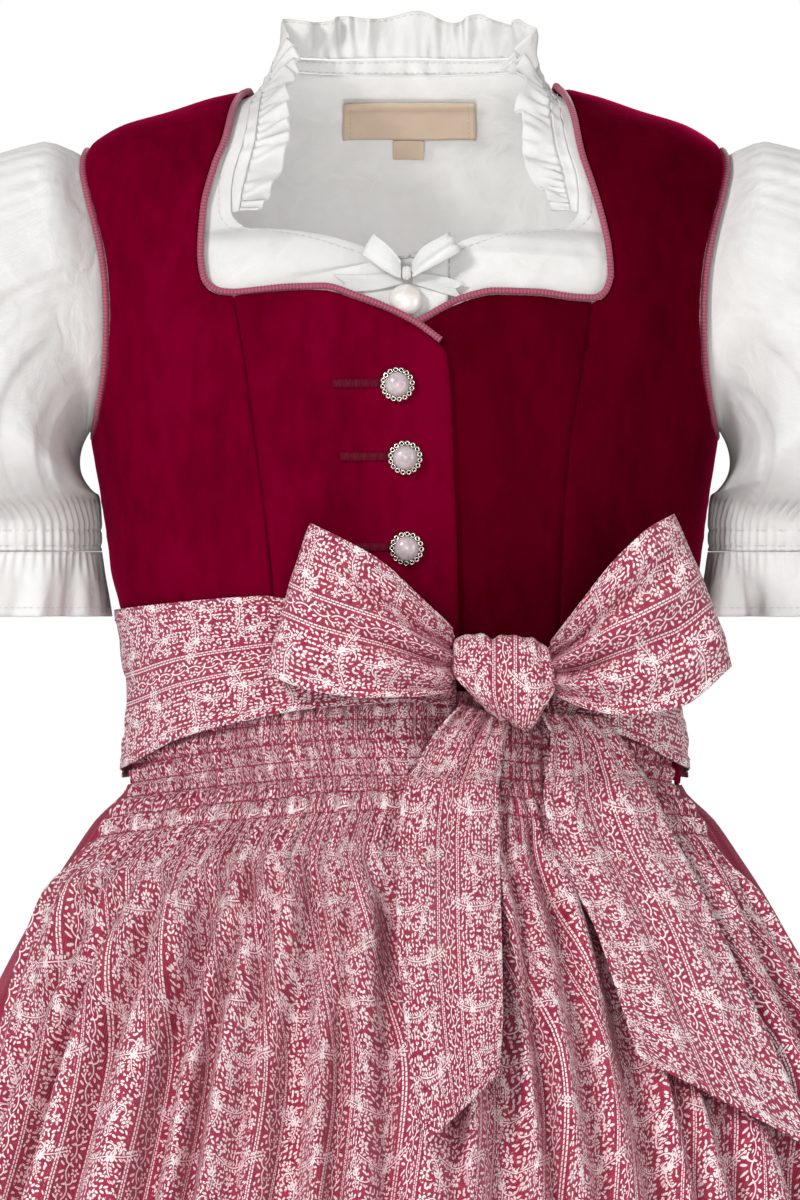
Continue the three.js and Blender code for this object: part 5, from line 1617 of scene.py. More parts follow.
class DIRNDL_OT_collar(bpy.types.Operator):
    """The narrow band round the neck and the ruffle gathered onto it"""

    bl_idname = "dirndl.collar"
    bl_label = "Collar"

    def execute(self, context):
        curves = collar_curves()
        t = shares(448)
        seam, edge = curves(t)
        face = unit(np.cross(np.gradient(seam, axis=0), edge - seam))
        height = np.linalg.norm(edge - seam, axis=-1)
        way = along(seam)

        def row(share, wave):
            start = np.maximum(share, SEAM / height)[:, None]
            return lerp(seam, edge, start) + face * np.asarray(wave)[..., None]

        # The band, with a soft roll along both edges and a row of stitches near each
        across = shares(6)
        wavy = 0.3 * uneven(way[:, None], 9, 3)
        grid = np.array([row(lerp(0, BAND_SHARE, s), 0.35 * math.sin(math.pi * s) + wavy) for s in across])
        flat = pair(way[None], (across * BAND_SHARE * 24)[:, None])
        for k, at in enumerate((1, 5), 1):
            path = line(grid[at][::4], 1.0)
            up = unit(through(along(grid[at]), face)(along(path)))
            sew(f"band_stitches_{k}", stitches(path, up, "seam"), "white_thread")
        parts = [shell(grid, grid - face[None] * BAND_WALL, flat)]
        dress("collar_band_cotton", "collar_band", parts, "cotton")
        # The ruffle: fine gathers at the seam that run together into waves at the free edge
        fine = np.sin(2 * np.pi * (66 * t + 0.7 * np.sin(2 * np.pi * 5 * t + 1)))
        middle = np.sin(2 * np.pi * (33 * t + 0.5 * np.sin(2 * np.pi * 7 * t)))
        broad = np.sin(2 * np.pi * RUFFLE["waves"] * t)
        rows = []
        for s in shares(13):
            share = lerp(BAND_SHARE + 0.035, 1, s)
            wave = broad * RUFFLE["depth"] * 1.3 * ramp(s, -0.3, 1.1) + middle * 1.7 * ramp(s, 0.05, 0.8)
            wave = wave + 1.6 * uneven(way[:, None], 12, 19) * ramp(s, 0.2, 1)
            wave = wave + fine * 0.6 * (1 - ramp(s, 0.15, 0.8))
            tall = 1 + 0.07 * s * uneven(way[:, None], 17, 9)
            rows.append(row(share * tall, wave * (0.85 + 0.45 * uneven(way[:, None], 34, 8))))
        grid = np.array(rows)
        facing = normals(grid)
        flat = pair((way * 1.7)[None], (shares(13) * 18)[:, None])
        sewing = sew("ruffle_stitches", stitches(grid[-2][::2], facing[-2][::2], "ruffle"), "white_thread")
        parts = [shell(grid, grid - facing * FRILL_WALL, flat)]
        dress("collar_ruffle_cotton", "collar_ruffle", parts, "cotton")
        return {"FINISHED"}


# --- Labels -------------------------------------------------------------------------------------------

LABELS = {"neck_label": (-23.4, 27, -1, -14.3), "size_tab": (-4.3, 7.2, -14.6, -22)}


class DIRNDL_OT_labels(bpy.types.Operator):
    """A woven label and a size tab inside the back of the neck, both plain"""

    bl_idname = "dirndl.labels"
    bl_label = "Labels"

    def execute(self, context):
        for name, (left, right, top, bottom) in LABELS.items():
            x = lerp(left, right, shares(36))[None]
            z = lerp(top, bottom, shares(14))[:, None]
            grid = on_face(BACK, x, z)
            soft = 0.25 * uneven(grid, 22, 7)
            distance = BLOUSE - COTTON - 0.5 + soft - 0.3 * near_ends(grid, 1.2)
            if name == "neck_label":
                for k, at in enumerate((2, -3), 1):
                    thread = stitches(out(grid, distance - 0.55)[:, at], [0, -1, 0], "label")
                    sew(f"label_stitches_{k}", thread, "label_thread")
            dress(f"{name}_satin", name, [on_figure(grid, FRILL_WALL, distance)], "label")
        return {"FINISHED"}


# --- Sleeves ------------------------------------------------------------------------------------------

# Rings fan out round a pivot below the underarm, from the upright armhole to the level cuff
SLEEVE_PIVOT = (113, -150)
SLEEVE = table(
    "step turn drop inner outer depth gather",
    (0, 8, 0, 23, 133, 44, 1.2),
    (1, 22, 0, 17, 132.5, 53, 2.4),
    (2, 38, 0, 10.5, 129, 60, 2.8),
    (3, 55, 0, 3.6, 119.5, 62, 2.8),
    (4, 72, 0, 0.4, 105, 57, 2.6),
    (5, 90, 3, -0.9, 82, 44, 1.5),
    (6, 90, 12, -1.4, 69, 34.5, 0.5),
    (7, 90, 21, -1.4, 69, 34, 0.4),
)
SLEEVE_FOLDS = 7
SHIRRING = (-163.4, -169.2)  # heights of the rows of stitches that hold the band's gathers
FRILL = table(
    "drop centre radius wave", (21 + SEAM, 146.9, 35.1, 0.3), (33, 149.2, 38.4, 1.7), (45, 152.5, 42.5, 2.8)
)
FRILL_WAVES = 10
FRILL_CUT = (290, 23.5)
# The sleeve's own folds, as places round it (degrees) and down it (steps)
SLEEVE_CREASES = table(
    "fromA fromB toA toB width height",
    (60, 0.4, 75, 3.4, 5, 1.6),
    (84, 0.2, 92, 2.8, 4, -1.4),
    (30, 0.3, 42, 4.2, 6, 1.5),
    (108, 0.9, 100, 4.4, 6, 1.6),
    (74, 2.6, 66, 4.9, 5, -1.6),
    (50, 2.2, 40, 4.8, 5, -1.4),
    (128, 1.2, 134, 4.4, 7, -1.2),
    (300, 0.4, 288, 3.8, 6, 1.5),
    (270, 0.6, 262, 4.2, 5, -1.4),
    (330, 0.5, 322, 4.6, 6, 1.3),
    (240, 1.2, 246, 4.2, 7, 1.3),
)


def drifting(turn):
    """What keeps a sleeve's gathers from lying evenly round it"""
    return 0.9 * np.sin(3 * turn + 1.1) + 0.7 * np.sin(5 * turn + 0.4)


def strands(turn):
    """The fine gathers of the shirred band and of the frill sewn on to it: 1 on a crest"""
    return 0.5 + 0.5 * np.cos(62 * turn + 1.6 * drifting(turn))


def sleeve_gathers(s, turn, most):
    """How far a sleeve's ring at a step lies inside its outline"""
    bearing = np.degrees(turn)
    drift = drifting(turn)
    broad = most * (0.5 + 0.5 * np.cos(SLEEVE_FOLDS * turn + 0.5 * drift * ramp(s, 0, 2)))
    fine = 0.5 + 0.5 * np.cos(54 * turn + 2.2 * drift)
    lively = 0.6 + 0.4 * uneven(pair(bearing, 0 * turn), 40, 2)
    cap = 0.35 + 0.65 * ramp(np.cos(turn), -0.7, 0.2)
    gathered = broad + 0.7 * fine * lively * cap * ramp(s, -1, -0.4) * (1 - ramp(s, 0.2, 2.2))
    shirred = 1.5 * strands(turn) * (1 + 0.35 * uneven(pair(bearing, 9 * s + 0 * turn), 22, 6))
    gathered = gathered + shirred * ramp(s, 4.45, 5.5) * (1 - 0.35 * ramp(s, 5.4, 6.0))
    pinch = np.exp(-(((s - 6.15) / 0.09) ** 2)) + np.exp(-(((s - 6.8) / 0.09) ** 2))
    return gathered + 0.5 * pinch


def sleeve_grid(side, columns, rows):
    """Rings of a puff sleeve from the armhole to the end of its shirred band"""
    t = shares(columns)
    turn = 2 * np.pi * t
    degrees = 360 * np.minimum(t, 1 - t)
    face = np.where(t < 0.5, FRONT, BACK)
    foot = np.array([armhole(side, d, f, ARMHOLE_INSET + 0.6) for d, f in zip(degrees, face)])
    foot[degrees % 180 == 0, 1] = 0
    steps = np.concatenate([[-1], np.linspace(-1, 5, rows)[1:], np.linspace(5, 7, 20)[1:]])
    columns_of = {k: smooth(SLEEVE, "step", k) for k in SLEEVE[0]}
    grid = []
    for s in steps:
        at = {k: f(max(s, 0)) for k, f in columns_of.items()}
        gathered = sleeve_gathers(s, turn, at["gather"])
        crease = pressed(np.degrees(turn), s, SLEEVE_CREASES) * ramp(s, 0.2, 1) * (1 - ramp(s, 4, 5))
        crease = crease - 0.35 * uneven(pair(np.degrees(turn) * 0.9, s * 16), 90, 17 + side)
        gathered = gathered - crease * ramp(s, 0, 1.2) * (1 - ramp(s, 4.4, 5.2))
        reach = (at["inner"] + at["outer"]) / 2 + ((at["outer"] - at["inner"]) / 2 - gathered) * np.cos(turn)
        lean = np.radians(at["turn"])
        # The side by the body lies flatter than the outer one
        square = 1 - 0.4 * ramp(-np.cos(turn), 0, 0.7) * ramp(s, 1.5, 3) * (1 - ramp(s, 4, 5))
        ring = point(
            side * (SLEEVE_PIVOT[0] + reach * np.sin(lean)),
            -(at["depth"] - gathered) * (np.sign(np.sin(turn)) * np.abs(np.sin(turn)) ** square),
            SLEEVE_PIVOT[1] + reach * np.cos(lean) - at["drop"],
        )
        if s < 0:
            distance = lerp(BLOUSE + SEAM, 1.5, ramp(s, -1.0, -0.55))
            ring = lerp(out(foot, np.full(len(foot), distance)), ring, ramp(s, -0.75, 0.25))
        grid.append(ring)
    grid = np.array(grid)
    grid[:, -1] = grid[:, 0]
    return grid


def frill_grid(side, columns, rows):
    """Rings of a frill from the shirred band to its free edge"""
    turn = 2 * np.pi * shares(columns)
    drift = drifting(turn)
    first, last = FRILL[0]["drop"], FRILL[-1]["drop"]
    centre, radius, wave = (smooth(FRILL, "drop", k) for k in ("centre", "radius", "wave"))
    grid = []
    for drop in np.linspace(first, last, rows):
        s = (drop - first) / (last - first)
        swing = wave(drop) * np.sin(FRILL_WAVES * turn + 0.4 * drift * s)
        swing = swing - 0.9 * strands(turn) * (1 - ramp(s, 0, 0.55))
        swing = swing + 0.8 * np.sin(23 * turn + drift) * ramp(s, 0.1, 0.8)
        reach = radius(drop) + swing
        x = side * (centre(drop) + reach * np.cos(turn))
        grid.append(point(x, -reach * np.sin(turn), SLEEVE_PIVOT[1] - drop))
    grid = np.array(grid)
    grid[:, -1] = grid[:, 0]
    return grid


def round_stitches(name, ring, step, kind):
    """A row of sewing round a sleeve"""
    path = line(ring[::step], 0.9)
    return sew(name, stitches(path, unit((path - path.mean(0)) * [1, 1, 0]), kind), "white_thread")


def round_wall(side, grid, flat):
    facing = normals(grid, True) * (1 if side == LEFT else -1)
    return shell(grid, grid - facing * FRILL_WALL, flat, closed=True)


class DIRNDL_OT_sleeves(bpy.types.Operator):
    """Puff sleeves gathered into the armholes and a shirred band, and their frills"""

    bl_idname = "dirndl.sleeves"
    bl_label = "Sleeves"

    def execute(self, context):
        for side in (RIGHT, LEFT):
            key = named(side)
            grid = sleeve_grid(side, 264, 41)
            length = along(np.swapaxes(grid, 0, 1)).T.mean(1)
            wall = round_wall(side, grid, pair((shares(264) * 460)[None], length[:, None]))
            sewn = []
            for k, z in enumerate(SHIRRING, 1):
                row = int(np.argmin(np.abs(grid[:, 100, 2] - z)))
                sewn.append(round_stitches(f"shirring_{key}_{k}", grid[row], 3, "shirring"))
            dress(f"sleeve_{key}_cotton", f"sleeve_{key}", [wall], "cotton")
            grid = frill_grid(side, 312, 16)
            flat = pair((shares(312) * FRILL_CUT[0])[None], (shares(15) * 24)[:, None])
            wall = round_wall(side, grid, flat)
            sewn = [round_stitches(f"frill_stitches_{key}", grid[-3], 2, "frill")]
            dress(f"frill_{key}_cotton", f"sleeve_frill_{key}", [wall], "cotton")
        return {"FINISHED"}


# --- Skirt --------------------------------------------------------------------------------------------

GATHERS = 22
SIDE_GAP = 0.0002  # turn that each half leaves at a side seam
WANDER = table("waves amount start", (3, 0.9, 0.8), (7, 0.6, 0))
VARY = {"waves": 5, "amount": 0.2, "start": 0.7}


def gathering(turn):
    """How far into a gather the cloth lies: 0 on a crest, 1 at most"""
    phase = GATHERS * turn
    for row in WANDER:
        phase = phase + row["amount"] * np.sin(row["waves"] * turn + row["start"])
    vary = VARY["amount"] * np.sin(VARY["waves"] * turn + VARY["start"])
    return (1 - VARY["amount"] + vary) * (0.5 - 0.5 * np.cos(phase))


class DIRNDL_OT_skirt(bpy.types.Operator):
    """Front and back of the gathered satin skirt, with a deep hem sewn by hand"""

    bl_idname = "dirndl.skirt"
    bl_label = "Skirt"

    def execute(self, context):
        for name, begin, end, seed in (("front", -0.5, 0.5, 3), ("back", 0.5, 1.5, 8)):
            rise = np.concatenate([np.linspace(0, 0.12, 16), np.linspace(0.12, 1, 46)[1:]])
            z = lerp(WAIST, HEM, rise)[:, None]
            turn = lerp(begin * np.pi + SIDE_GAP, end * np.pi - SIDE_GAP, shares(292))[None]
            base = around(turn, z)
            fine = 0.5 - 0.5 * np.cos(4 * GATHERS * turn + 2.2 * np.sin(9 * turn) + 1.4 * np.sin(17 * turn))
            second = 0.5 - 0.5 * np.cos(2 * GATHERS * turn + 1.6 * np.sin(6 * turn + 1))
            into = fold(z) * gathering(turn) + 1.7 * fine * (1 - ramp(-z, 285, 400))
            into = into + 1.8 * second * ramp(-z, 262, 330) * (1 - 0.6 * ramp(-z, 420, 640))
            # Both halves meet at the same depth along their side seams
            free = ramp(np.abs(np.cos(turn)), 0, 0.08)
            way = turn * 190
            into = into + 1.6 * (1 + free * uneven(pair(way, z * 0.16), 44, seed)) * ramp(-z, 290, 420)
            into = into + 0.5 * (1 + free * uneven(pair(way, z * 0.5), 16, seed + 1)) * ramp(-z, 290, 380)
            hem = 0.35 * np.exp(-(((z - HEM - 26) / 1.6) ** 2))
            grid = out(base, -np.maximum(into, 0) - hem)
            facing = -normals(grid)
            width = (end - begin) * 720 * (shares(292) - 0.5)
            flat = pair(width[None], along(np.swapaxes(base, 0, 1)).T)
            row = int(np.argmin(np.abs(z[:, 0] - HEM - 25)))
            thread = stitches(grid[row][::2], facing[row][::2], "skirt")
            sewn = [sew(f"skirt_hem_{name}", thread, "wine_thread")]
            parts = [shell(grid, grid - facing * SKIRT_WALL, flat)]
            dress(f"skirt_{name}_satin", f"skirt_{name}", parts, "skirt")
        return {"FINISHED"}


# --- Apron --------------------------------------------------------------------------------------------

# How far round the apron reaches, as a share of the skirt's half width on each side, and how far its folds
# stand out
APRON = table(
    "z right left room",
    (-238, 0.975, 0.955, 0),
    (-270, 0.93, 0.915, 1),
    (-283, 0.93, 0.9, 4),
    (-298, 0.905, 0.89, 8),
    (-320, 0.88, 0.9, 11.5),
    (-360, 0.845, 0.915, 14.5),
    (-430, 0.83, 0.88, 15.5),
    (-604, 0.8, 0.85, 16.5),
)
APRON_CLEAR = 0.8
APRON_END = -604
APRON_MEASURED = -430  # the height at which the stripes' widths are measured
SMOCK = {"top": -222, "first": -233, "pitch": 7, "rows": 6, "droop": 11, "rib": 3.0, "stitched": 0.25}
SMOCK_END = SMOCK["first"] - SMOCK["pitch"] * (SMOCK["rows"] - 1)
DROOP_END = -430
LAP_FADE = 25
SIDE_STITCH = 5.4
# Valleys between the folds: where they lie in degrees from the centre front, half width and depth
VALLEYS = table(
    "turn width depth",
    (-50, 3, 0.8),
    (-43, 1.8, 0.6),
    (-36, 2.6, 0.8),
    (-27, 2.8, 1.1),
    (-21.5, 1.8, 0.7),
    (-17, 2.0, 0.6),
    (-11.7, 3, 1.3),
    (-6.5, 1.7, 0.6),
    (-1.5, 2.0, 0.75),
    (4.5, 1.8, 0.6),
    (9.5, 3, 1.3),
    (14.5, 1.8, 0.7),
    (19.5, 2.2, 0.7),
    (26, 3, 1.05),
    (31, 1.8, 0.6),
    (36, 2.4, 0.8),
    (45, 3, 1.0),
    (54, 2.6, 0.8),
)


def turn_at(side, z):
    return side * np.arcsin(smooth(APRON, "z", named(side))(z) ** (power(z) / 2))


def standing(turn):
    """How far the apron's folds stand out at a turn: 1 on a fold, 0 in the deepest valley"""
    dips = []
    for row in VALLEYS:
        aside = (np.degrees(turn) - row["turn"]) / (0.8 * row["width"])
        dips.append(row["depth"] * np.exp(-(aside**2)))
    return np.maximum(1 - np.max(dips, axis=0), 0.02)


def lap_under(p):
    """What the lap adds below the waist, where it stops showing"""
    return lap_raise_over(p[..., 0]) * ramp(p[..., 2], WAIST - LAP_FADE, WAIST)


def apron_surface(heights, columns):
    """The apron's plain inside at rows of heights, with each point's turn round the skirt"""
    heights = np.asarray(heights, float)[:, None]
    turn = lerp(turn_at(RIGHT, heights), turn_at(LEFT, heights), shares(columns)[None])
    droop = SMOCK["droop"] * ramp(heights, DROOP_END, -271.0)
    p = around(turn, heights - droop * np.sin(turn) ** 2)
    return p, turn


def out_soft(p, distance, rounds=10):
    """Points moved out by a distance, with the figure's bends rounded off down the rows as cloth does"""
    facing = slope_of(p)
    for _ in range(rounds):
        facing[1:-1] = (facing[:-2] + 2 * facing[1:-1] + facing[2:]) / 4
    return p + unit(facing) * np.asarray(distance)[..., None]


class DIRNDL_OT_apron(bpy.types.Operator):
    """Jacquard apron, smocked at its top into fine ribs that open into hanging folds"""

    bl_idname = "dirndl.apron"
    bl_label = "Apron"

    def execute(self, context):
        ribs = context.scene.dirndl_looks.ribs
        columns = ribs * 8
        smocked = np.linspace(SMOCK["top"], SMOCK_END, 49)
        open_rows = lerp(SMOCK_END, APRON_END, shares(48)[1:] ** 1.15)
        heights = np.concatenate([smocked, open_rows])
        z = heights[:, None]
        share = shares(columns)[None]
        lines = SMOCK["first"] - SMOCK["pitch"] * np.arange(SMOCK["rows"])
        stitched = sum(np.exp(-(((z - at) / 1.25) ** 2)) for at in lines)
        # Ribs pinched two by two where they are stitched, the other two in the next row
        parity = sum((-1) ** k * np.exp(-(((z - at) / 2.2) ** 2)) for k, at in enumerate(lines))
        place = share * ribs
        shift = 0.17 * parity * np.sin(np.pi * place + 0.6)
        p, turn = apron_surface(heights, columns)
        rib = np.abs(np.sin(np.pi * (place + shift))) ** 0.85
        swell = SMOCK["rib"] * (1 - (1 - SMOCK["stitched"]) * stitched)
        swell = swell * (0.88 + 0.2 * uneven(pair(place * 3.7, z), 18, 12))
        fade = 1 - ramp(-z, -SMOCK_END + 2, -SMOCK_END + 34)
        room = smooth(APRON, "z", "room")(z)
        opened = ramp(-z, -SMOCK_END + 1, -SMOCK_END + 30)
        fine = rib * swell * fade
        # Below the smocking every few ribs run on into one fold
        spot = pair(place * 4, 0 * z)
        pairs = (0.5 + 0.5 * np.cos(2 * np.pi * place / 2 + 1.6 * uneven(spot, 60, 4))) ** 0.6
        runs = (0.5 + 0.5 * np.cos(2 * np.pi * place / 4.3 + 1.2 * uneven(spot, 90, 6))) ** 0.6
        fine = fine + 3.4 * pairs * opened * (1 - ramp(-z, 285, 380))
        fine = fine + 4.6 * runs * opened * (1 - 0.8 * ramp(-z, 330, 560))
        folds = room * standing(turn) * (1 - 0.65 * ramp(np.abs(share - 0.5) * 2, 0.86, 1))
        soft = 2.2 * uneven(pair(turn * 210, z * 0.12), 46, 21) * ramp(-z, 290, 380)
        soft = soft + 0.55 * uneven(pair(turn * 210, z * 0.4), 19, 23) * ramp(-z, 285, 360)
        kept = lerp(1.0, 0.2 + 0.8 * standing(turn), ramp(-z, 280, 320))
        distance = lap_under(p) + APRON_CLEAR + 0.5 + folds + np.maximum((fine + soft) * kept, 0.05)
        way = along(p)
        hem = 0.7 * (1 - ramp(way, 6.0, 6.8)) + 0.7 * (1 - ramp(way[:, -1:] - way, 6.0, 6.8))
        hem = np.maximum(hem, 0.7 * (1 - ramp(z - APRON_END, 17.5, 18.3))) * ramp(-z, 275, 300)
        grid = out_soft(p, distance + hem)
        across = along(grid[int(np.argmin(np.abs(heights - APRON_MEASURED)))])
        across = across - across[-1] / 2 + 12.0
        flat = pair(across[None], SMOCK["top"] - z)
        up = -normals(grid)
        thread = []
        for at in lines:
            row = int(np.argmin(np.abs(heights - at)))
            thread += stitches(grid[row][2:-2] + up[row][2:-2] * 0.3, up[row][2:-2], "smocking")
        sewn = [sew("smocking_thread", thread, "rose_thread")]
        row = int(np.argmin(np.abs(heights - APRON_END - 17)))
        thread = stitches(grid[row][::2], up[row][::2], "apron_hem")
        # The sides' sewing runs this far from the edge, measured in a row near the end
        inward = way[-20]
        for off in (inward - SIDE_STITCH, inward[-1] - inward - SIDE_STITCH):
            at = np.argmin(np.abs(off))
            thread += stitches(grid[40:, at], up[40:, at], "apron_side")
        sewn.append(sew("apron_hem_thread", thread, "rose_thread"))
        parts = [shell(grid, grid - up * JACQUARD_WALL, flat)]
        dress("apron_jacquard", "apron", parts, "jacquard")
        return {"FINISHED"}


# --- Sash ---------------------------------------------------------------------------------------------

SASH = {"top": -186, "topDroop": 6, "backBottom": -252, "clear": 0.5, "overSmock": 3.3}
SASH_LOW = table("x z", (0, -226), (31, -228.5), (58, -234), (79, -240.5), (100, -253), (106, -255))
SMOCK_SLOPES = {"none": 0.3, "full": 0.85, "outside": 1, "inside": 0.975}
SASH_BULGE = table("share out", (0, 0.3), (0.22, 1.5), (0.46, 0.5), (0.7, 1.4), (1, 0.4))
SASH_LEVEL = -232.0
# Each piece from one turn to another in degrees, and how far its upper edge is drawn down towards the knot at
# distances to one side of the centre front
SASH_PIECES = {
    "right": (-89.9, 8, RIGHT, (0, 14, 32, 48), (18, 12, 3, 0)),
    "left": (28, 89.9, LEFT, (50, 64, 80), (20, 7, 0)),
    "back": (90.1, 269.9, LEFT, (0,), (0,)),
}
# Creases in the band, as places round the waist in degrees and across the band in shares of 100
SASH_CREASES = table(
    "fromA fromB toA toB width height",
    (-90, 34, 6, 46, 4, 1.5),
    (-84, 18, 4, 22, 3.5, -1.2),
    (-70, 64, 8, 55, 4, 1.4),
    (-90, 78, -10, 70, 4, -1.4),
    (-40, 84, 6, 66, 3, 1.2),
    (-30, 10, 8, 36, 3, 1.3),
    (-22, 92, 8, 74, 3, -1.0),
    (30, 40, 90, 30, 4, 1.4),
    (28, 60, 90, 66, 4, -1.3),
    (30, 74, 84, 84, 4, 1.3),
    (28, 24, 80, 14, 3.5, -1.1),
    (90, 30, 270, 36, 4, 1.2),
    (96, 60, 260, 54, 5, -1.2),
    (110, 80, 265, 74, 4, 1.1),
)


def stripe_places(count, length, width):
    """Flat places of a band: the stripes run along it, from its middle"""
    return pair(width * (shares(count)[:, None] - 0.5), length[None])


class DIRNDL_OT_sash(bpy.types.Operator):
    """The jacquard band round the waist, creased towards the knot"""

    bl_idname = "dirndl.sash"
    bl_label = "Sash"

    def execute(self, context):
        band = context.scene.dirndl_looks.band / MM
        for key, (begin, end, side, places, drawn) in SASH_PIECES.items():
            count = int((end - begin) * (1.0 if key == "back" else 1.3))
            turn = np.radians(lerp(begin, end, shares(count)))[None]
            share = shares(32)[:, None]
            low_side = np.sin(turn) ** 2
            x = around(turn, SASH_LEVEL)[..., 0]
            lowest = lerp(SASH["backBottom"], -255.0, low_side)
            low = np.where(np.cos(turn) > 0, smooth(SASH_LOW, "x", "z")(np.abs(x)), lowest)
            drawn = np.interp(np.maximum(x * side, 0), places, drawn)
            p = around(turn, lerp(SASH["top"] - SASH["topDroop"] * low_side - drawn, low, share))
            reach = np.abs(p[..., 0]) / half(p[..., 2])
            over_apron = ramp(reach, SMOCK_SLOPES["outside"], SMOCK_SLOPES["inside"])
            over_apron = np.where(p[..., 1] < 0, over_apron, 0)
            beneath = SASH["overSmock"] * over_apron * ramp(share, SMOCK_SLOPES["none"], SMOCK_SLOPES["full"])
            degrees = np.degrees(turn) + 0 * share
            creases = pressed(degrees, 100 * share + 0 * turn, SASH_CREASES)
            creases = creases + 0.5 * uneven(pair(degrees * 0.5, 100 * share), 26, 14)
            creases = creases * np.sin(np.pi * share) ** 0.5
            bulge = smooth(SASH_BULGE, "share", "out")(share)
            hem = 0.5 * (1 - ramp(np.minimum(share, 1 - share) * 52, 3.6, 4.2))
            distance = lap_raise_over(p[..., 0]) + SASH["clear"] + beneath + 1.4 + bulge
            grid = out(p, distance + np.maximum(creases, -0.9) + hem)
            up = unit(slope_of(grid))
            length = along(p[16])
            thread = [part for row in (2, 30) for part in stitches(grid[row], up[row], "band")]
            sewn = [sew(f"sash_thread_{key}", thread, "rose_thread")]
            parts = [shell(grid, grid - up * JACQUARD_WALL, stripe_places(32, length, band))]
            dress(f"sash_{key}_jacquard", f"sash_{key}", parts, "jacquard")
        return {"FINISHED"}


# --- Bow ----------------------------------------------------------------------------------------------

BOW_LOOPS = {
    RIGHT: table(
        "topX topZ bottomX bottomZ front rear",
        (17.4, -199, 17.4, -222.5, -91.8, -85.8),
        (7, -189, 5, -224, -96.8, -82.8),
        (-9, -174.5, -14, -224.5, -99.8, -80.8),
        (-24, -166, -34, -222, -96.8, -80.8),
        (-33, -161.7, -48, -217, -89.8, -78.8),
    ),
    LEFT: table(
        "topX topZ bottomX bottomZ front rear",
        (52.8, -204, 52.8, -223, -91.8, -85.8),
        (63.4, -190.4, 66, -228.6, -96.8, -82.8),
        (76, -174.5, 80, -231, -98.8, -78.8),
        (90, -162, 101, -227.5, -92.8, -73.8),
        (97, -158.2, 117, -215, -84.8, -70.8),
    ),
}
KNOT = table(
    "x z rise depth",
    (16.8, -213, 8.6, 4.2),
    (19.8, -214, 11.5, 6.6),
    (28, -216, 14, 8.2),
    (37, -218, 15.5, 8.6),
    (46, -219.5, 16, 8),
    (52, -219.5, 12.5, 6.2),
    (55.5, -218.5, 7, 3.8),
)
KNOT_MIDDLE = -90.8
TAIL_OFF = table(
    "z off",
    (-226, 11.2),
    (-240, 10.6),
    (-252, 8.8),
    (-266, 8.6),
    (-280, 9.8),
    (-300, 14),
    (-340, 19),
    (-400, 21),
)
TAILS = {
    RIGHT: table(
        "rightX rightZ leftX leftZ",
        (19.6, -226.5, 36, -233),
        (9.4, -241, 34, -245),
        (1, -260, 33, -262),
        (-3, -285, 33, -284),
        (-3, -315, 33, -312),
        (0, -350, 33, -345),
        (6.8, -392.8, 32, -367.2),
    ),
    LEFT: table(
        "rightX rightZ leftX leftZ",
        (46, -230, 67, -232),
        (49.7, -242, 76, -244),
        (48.6, -264, 86.4, -263.5),
        (54, -290, 96, -289),
        (64.3, -315.4, 107, -319),
        (70.6, -337.7, 118.5, -350),
        (78, -361.8, 138.2, -396.7),
    ),
}
# Folds in a loop of the bow: the share across the band where each leaves the knot and where it ends, how far
# out it reaches, its width and its height
LOOP_FOLDS = table(
    "start end reach width height",
    (0.14, 0.08, 0.95, 0.06, 3.0),
    (0.3, 0.24, 0.75, 0.05, -3.4),
    (0.46, 0.4, 0.95, 0.07, 3.6),
    (0.6, 0.63, 0.8, 0.05, -3.4),
    (0.77, 0.8, 1.0, 0.07, 3.4),
    (0.9, 0.93, 0.6, 0.045, -2.2),
)
TAIL_FOLDS = {
    RIGHT: table(
        "fromA fromB toA toB width height",
        (30, 0, 26, 100, 9, 1.7),
        (58, 0, 52, 80, 8, -1.6),
        (80, 5, 78, 100, 8, 1.5),
    ),
    LEFT: table(
        "fromA fromB toA toB width height",
        (22, 0, 30, 100, 8, 1.8),
        (48, 0, 46, 90, 8, -1.7),
        (74, 5, 72, 100, 9, 1.6),
    ),
}


def row_point(rows, end, y):
    return point(column(rows, end + "X"), y, column(rows, end + "Z"))


def loop_edges(rows):
    """The two edges of a band folded into a loop: out along its front, round its end and back behind"""
    last, before = rows[-1], rows[-2]
    beyond = {k: last[k] + (last[k] - before[k]) * 0.16 for k in last}
    edges = []
    for end in ("top", "bottom"):
        ahead = row_point(rows, end, column(rows, "front"))
        tip = row_point([beyond], end, (last["front"] + last["rear"]) / 2)
        home = row_point(rows[::-1], end, column(rows[::-1], "rear"))
        edges.append(np.concatenate([ahead, tip, home]))
    return edges


def band_loop(rows, side, count, across, folds, bulge, thickness):
    """A looped band as a shell, with folds that run out from the knot and a rounded front"""
    top, bottom = loop_edges(rows)
    way = (along(top) + along(bottom)) / 2
    t = way[-1] * shares(count)
    top, bottom = through(way, top)(t), through(way, bottom)(t)
    share = shares(across)
    grid = lerp(top[:, None], bottom[:, None], share[None, :, None])
    facing = normals(grid)
    facing = facing * np.sign(-facing[count // 8, across // 2, 1])
    reach = np.minimum(t, way[-1] - t)[:, None] / (way[-1] / 2)
    swell = bulge * np.sin(np.pi * share)[None] * np.sin(np.pi * np.minimum(1, reach * 0.8 + 0.1))
    rise = 0
    for k, row in enumerate(folds):
        at = lerp(row["start"], row["end"], reach) + 0.02 * np.sin(3 * reach + k)
        shown = (1 - ramp(reach, row["reach"] - 0.3, row["reach"] + 0.1)) * ramp(reach, -0.1, 0.12)
        wide = row["width"] * lerp(0.65, 1.25, reach)
        rise = rise + row["height"] * np.exp(-(((share[None] - at) / wide) ** 2)) * shown * 1.25
    rise = rise + 0.5 * uneven(pair(t[:, None], 50 * share[None]), 24, 5 + side)
    rear = (t > way[-1] / 2)[:, None]
    grid = grid + facing * (swell + np.where(rear, 0.5, 1) * rise)[..., None]
    inner = grid - facing * thickness
    return grid, inner, t


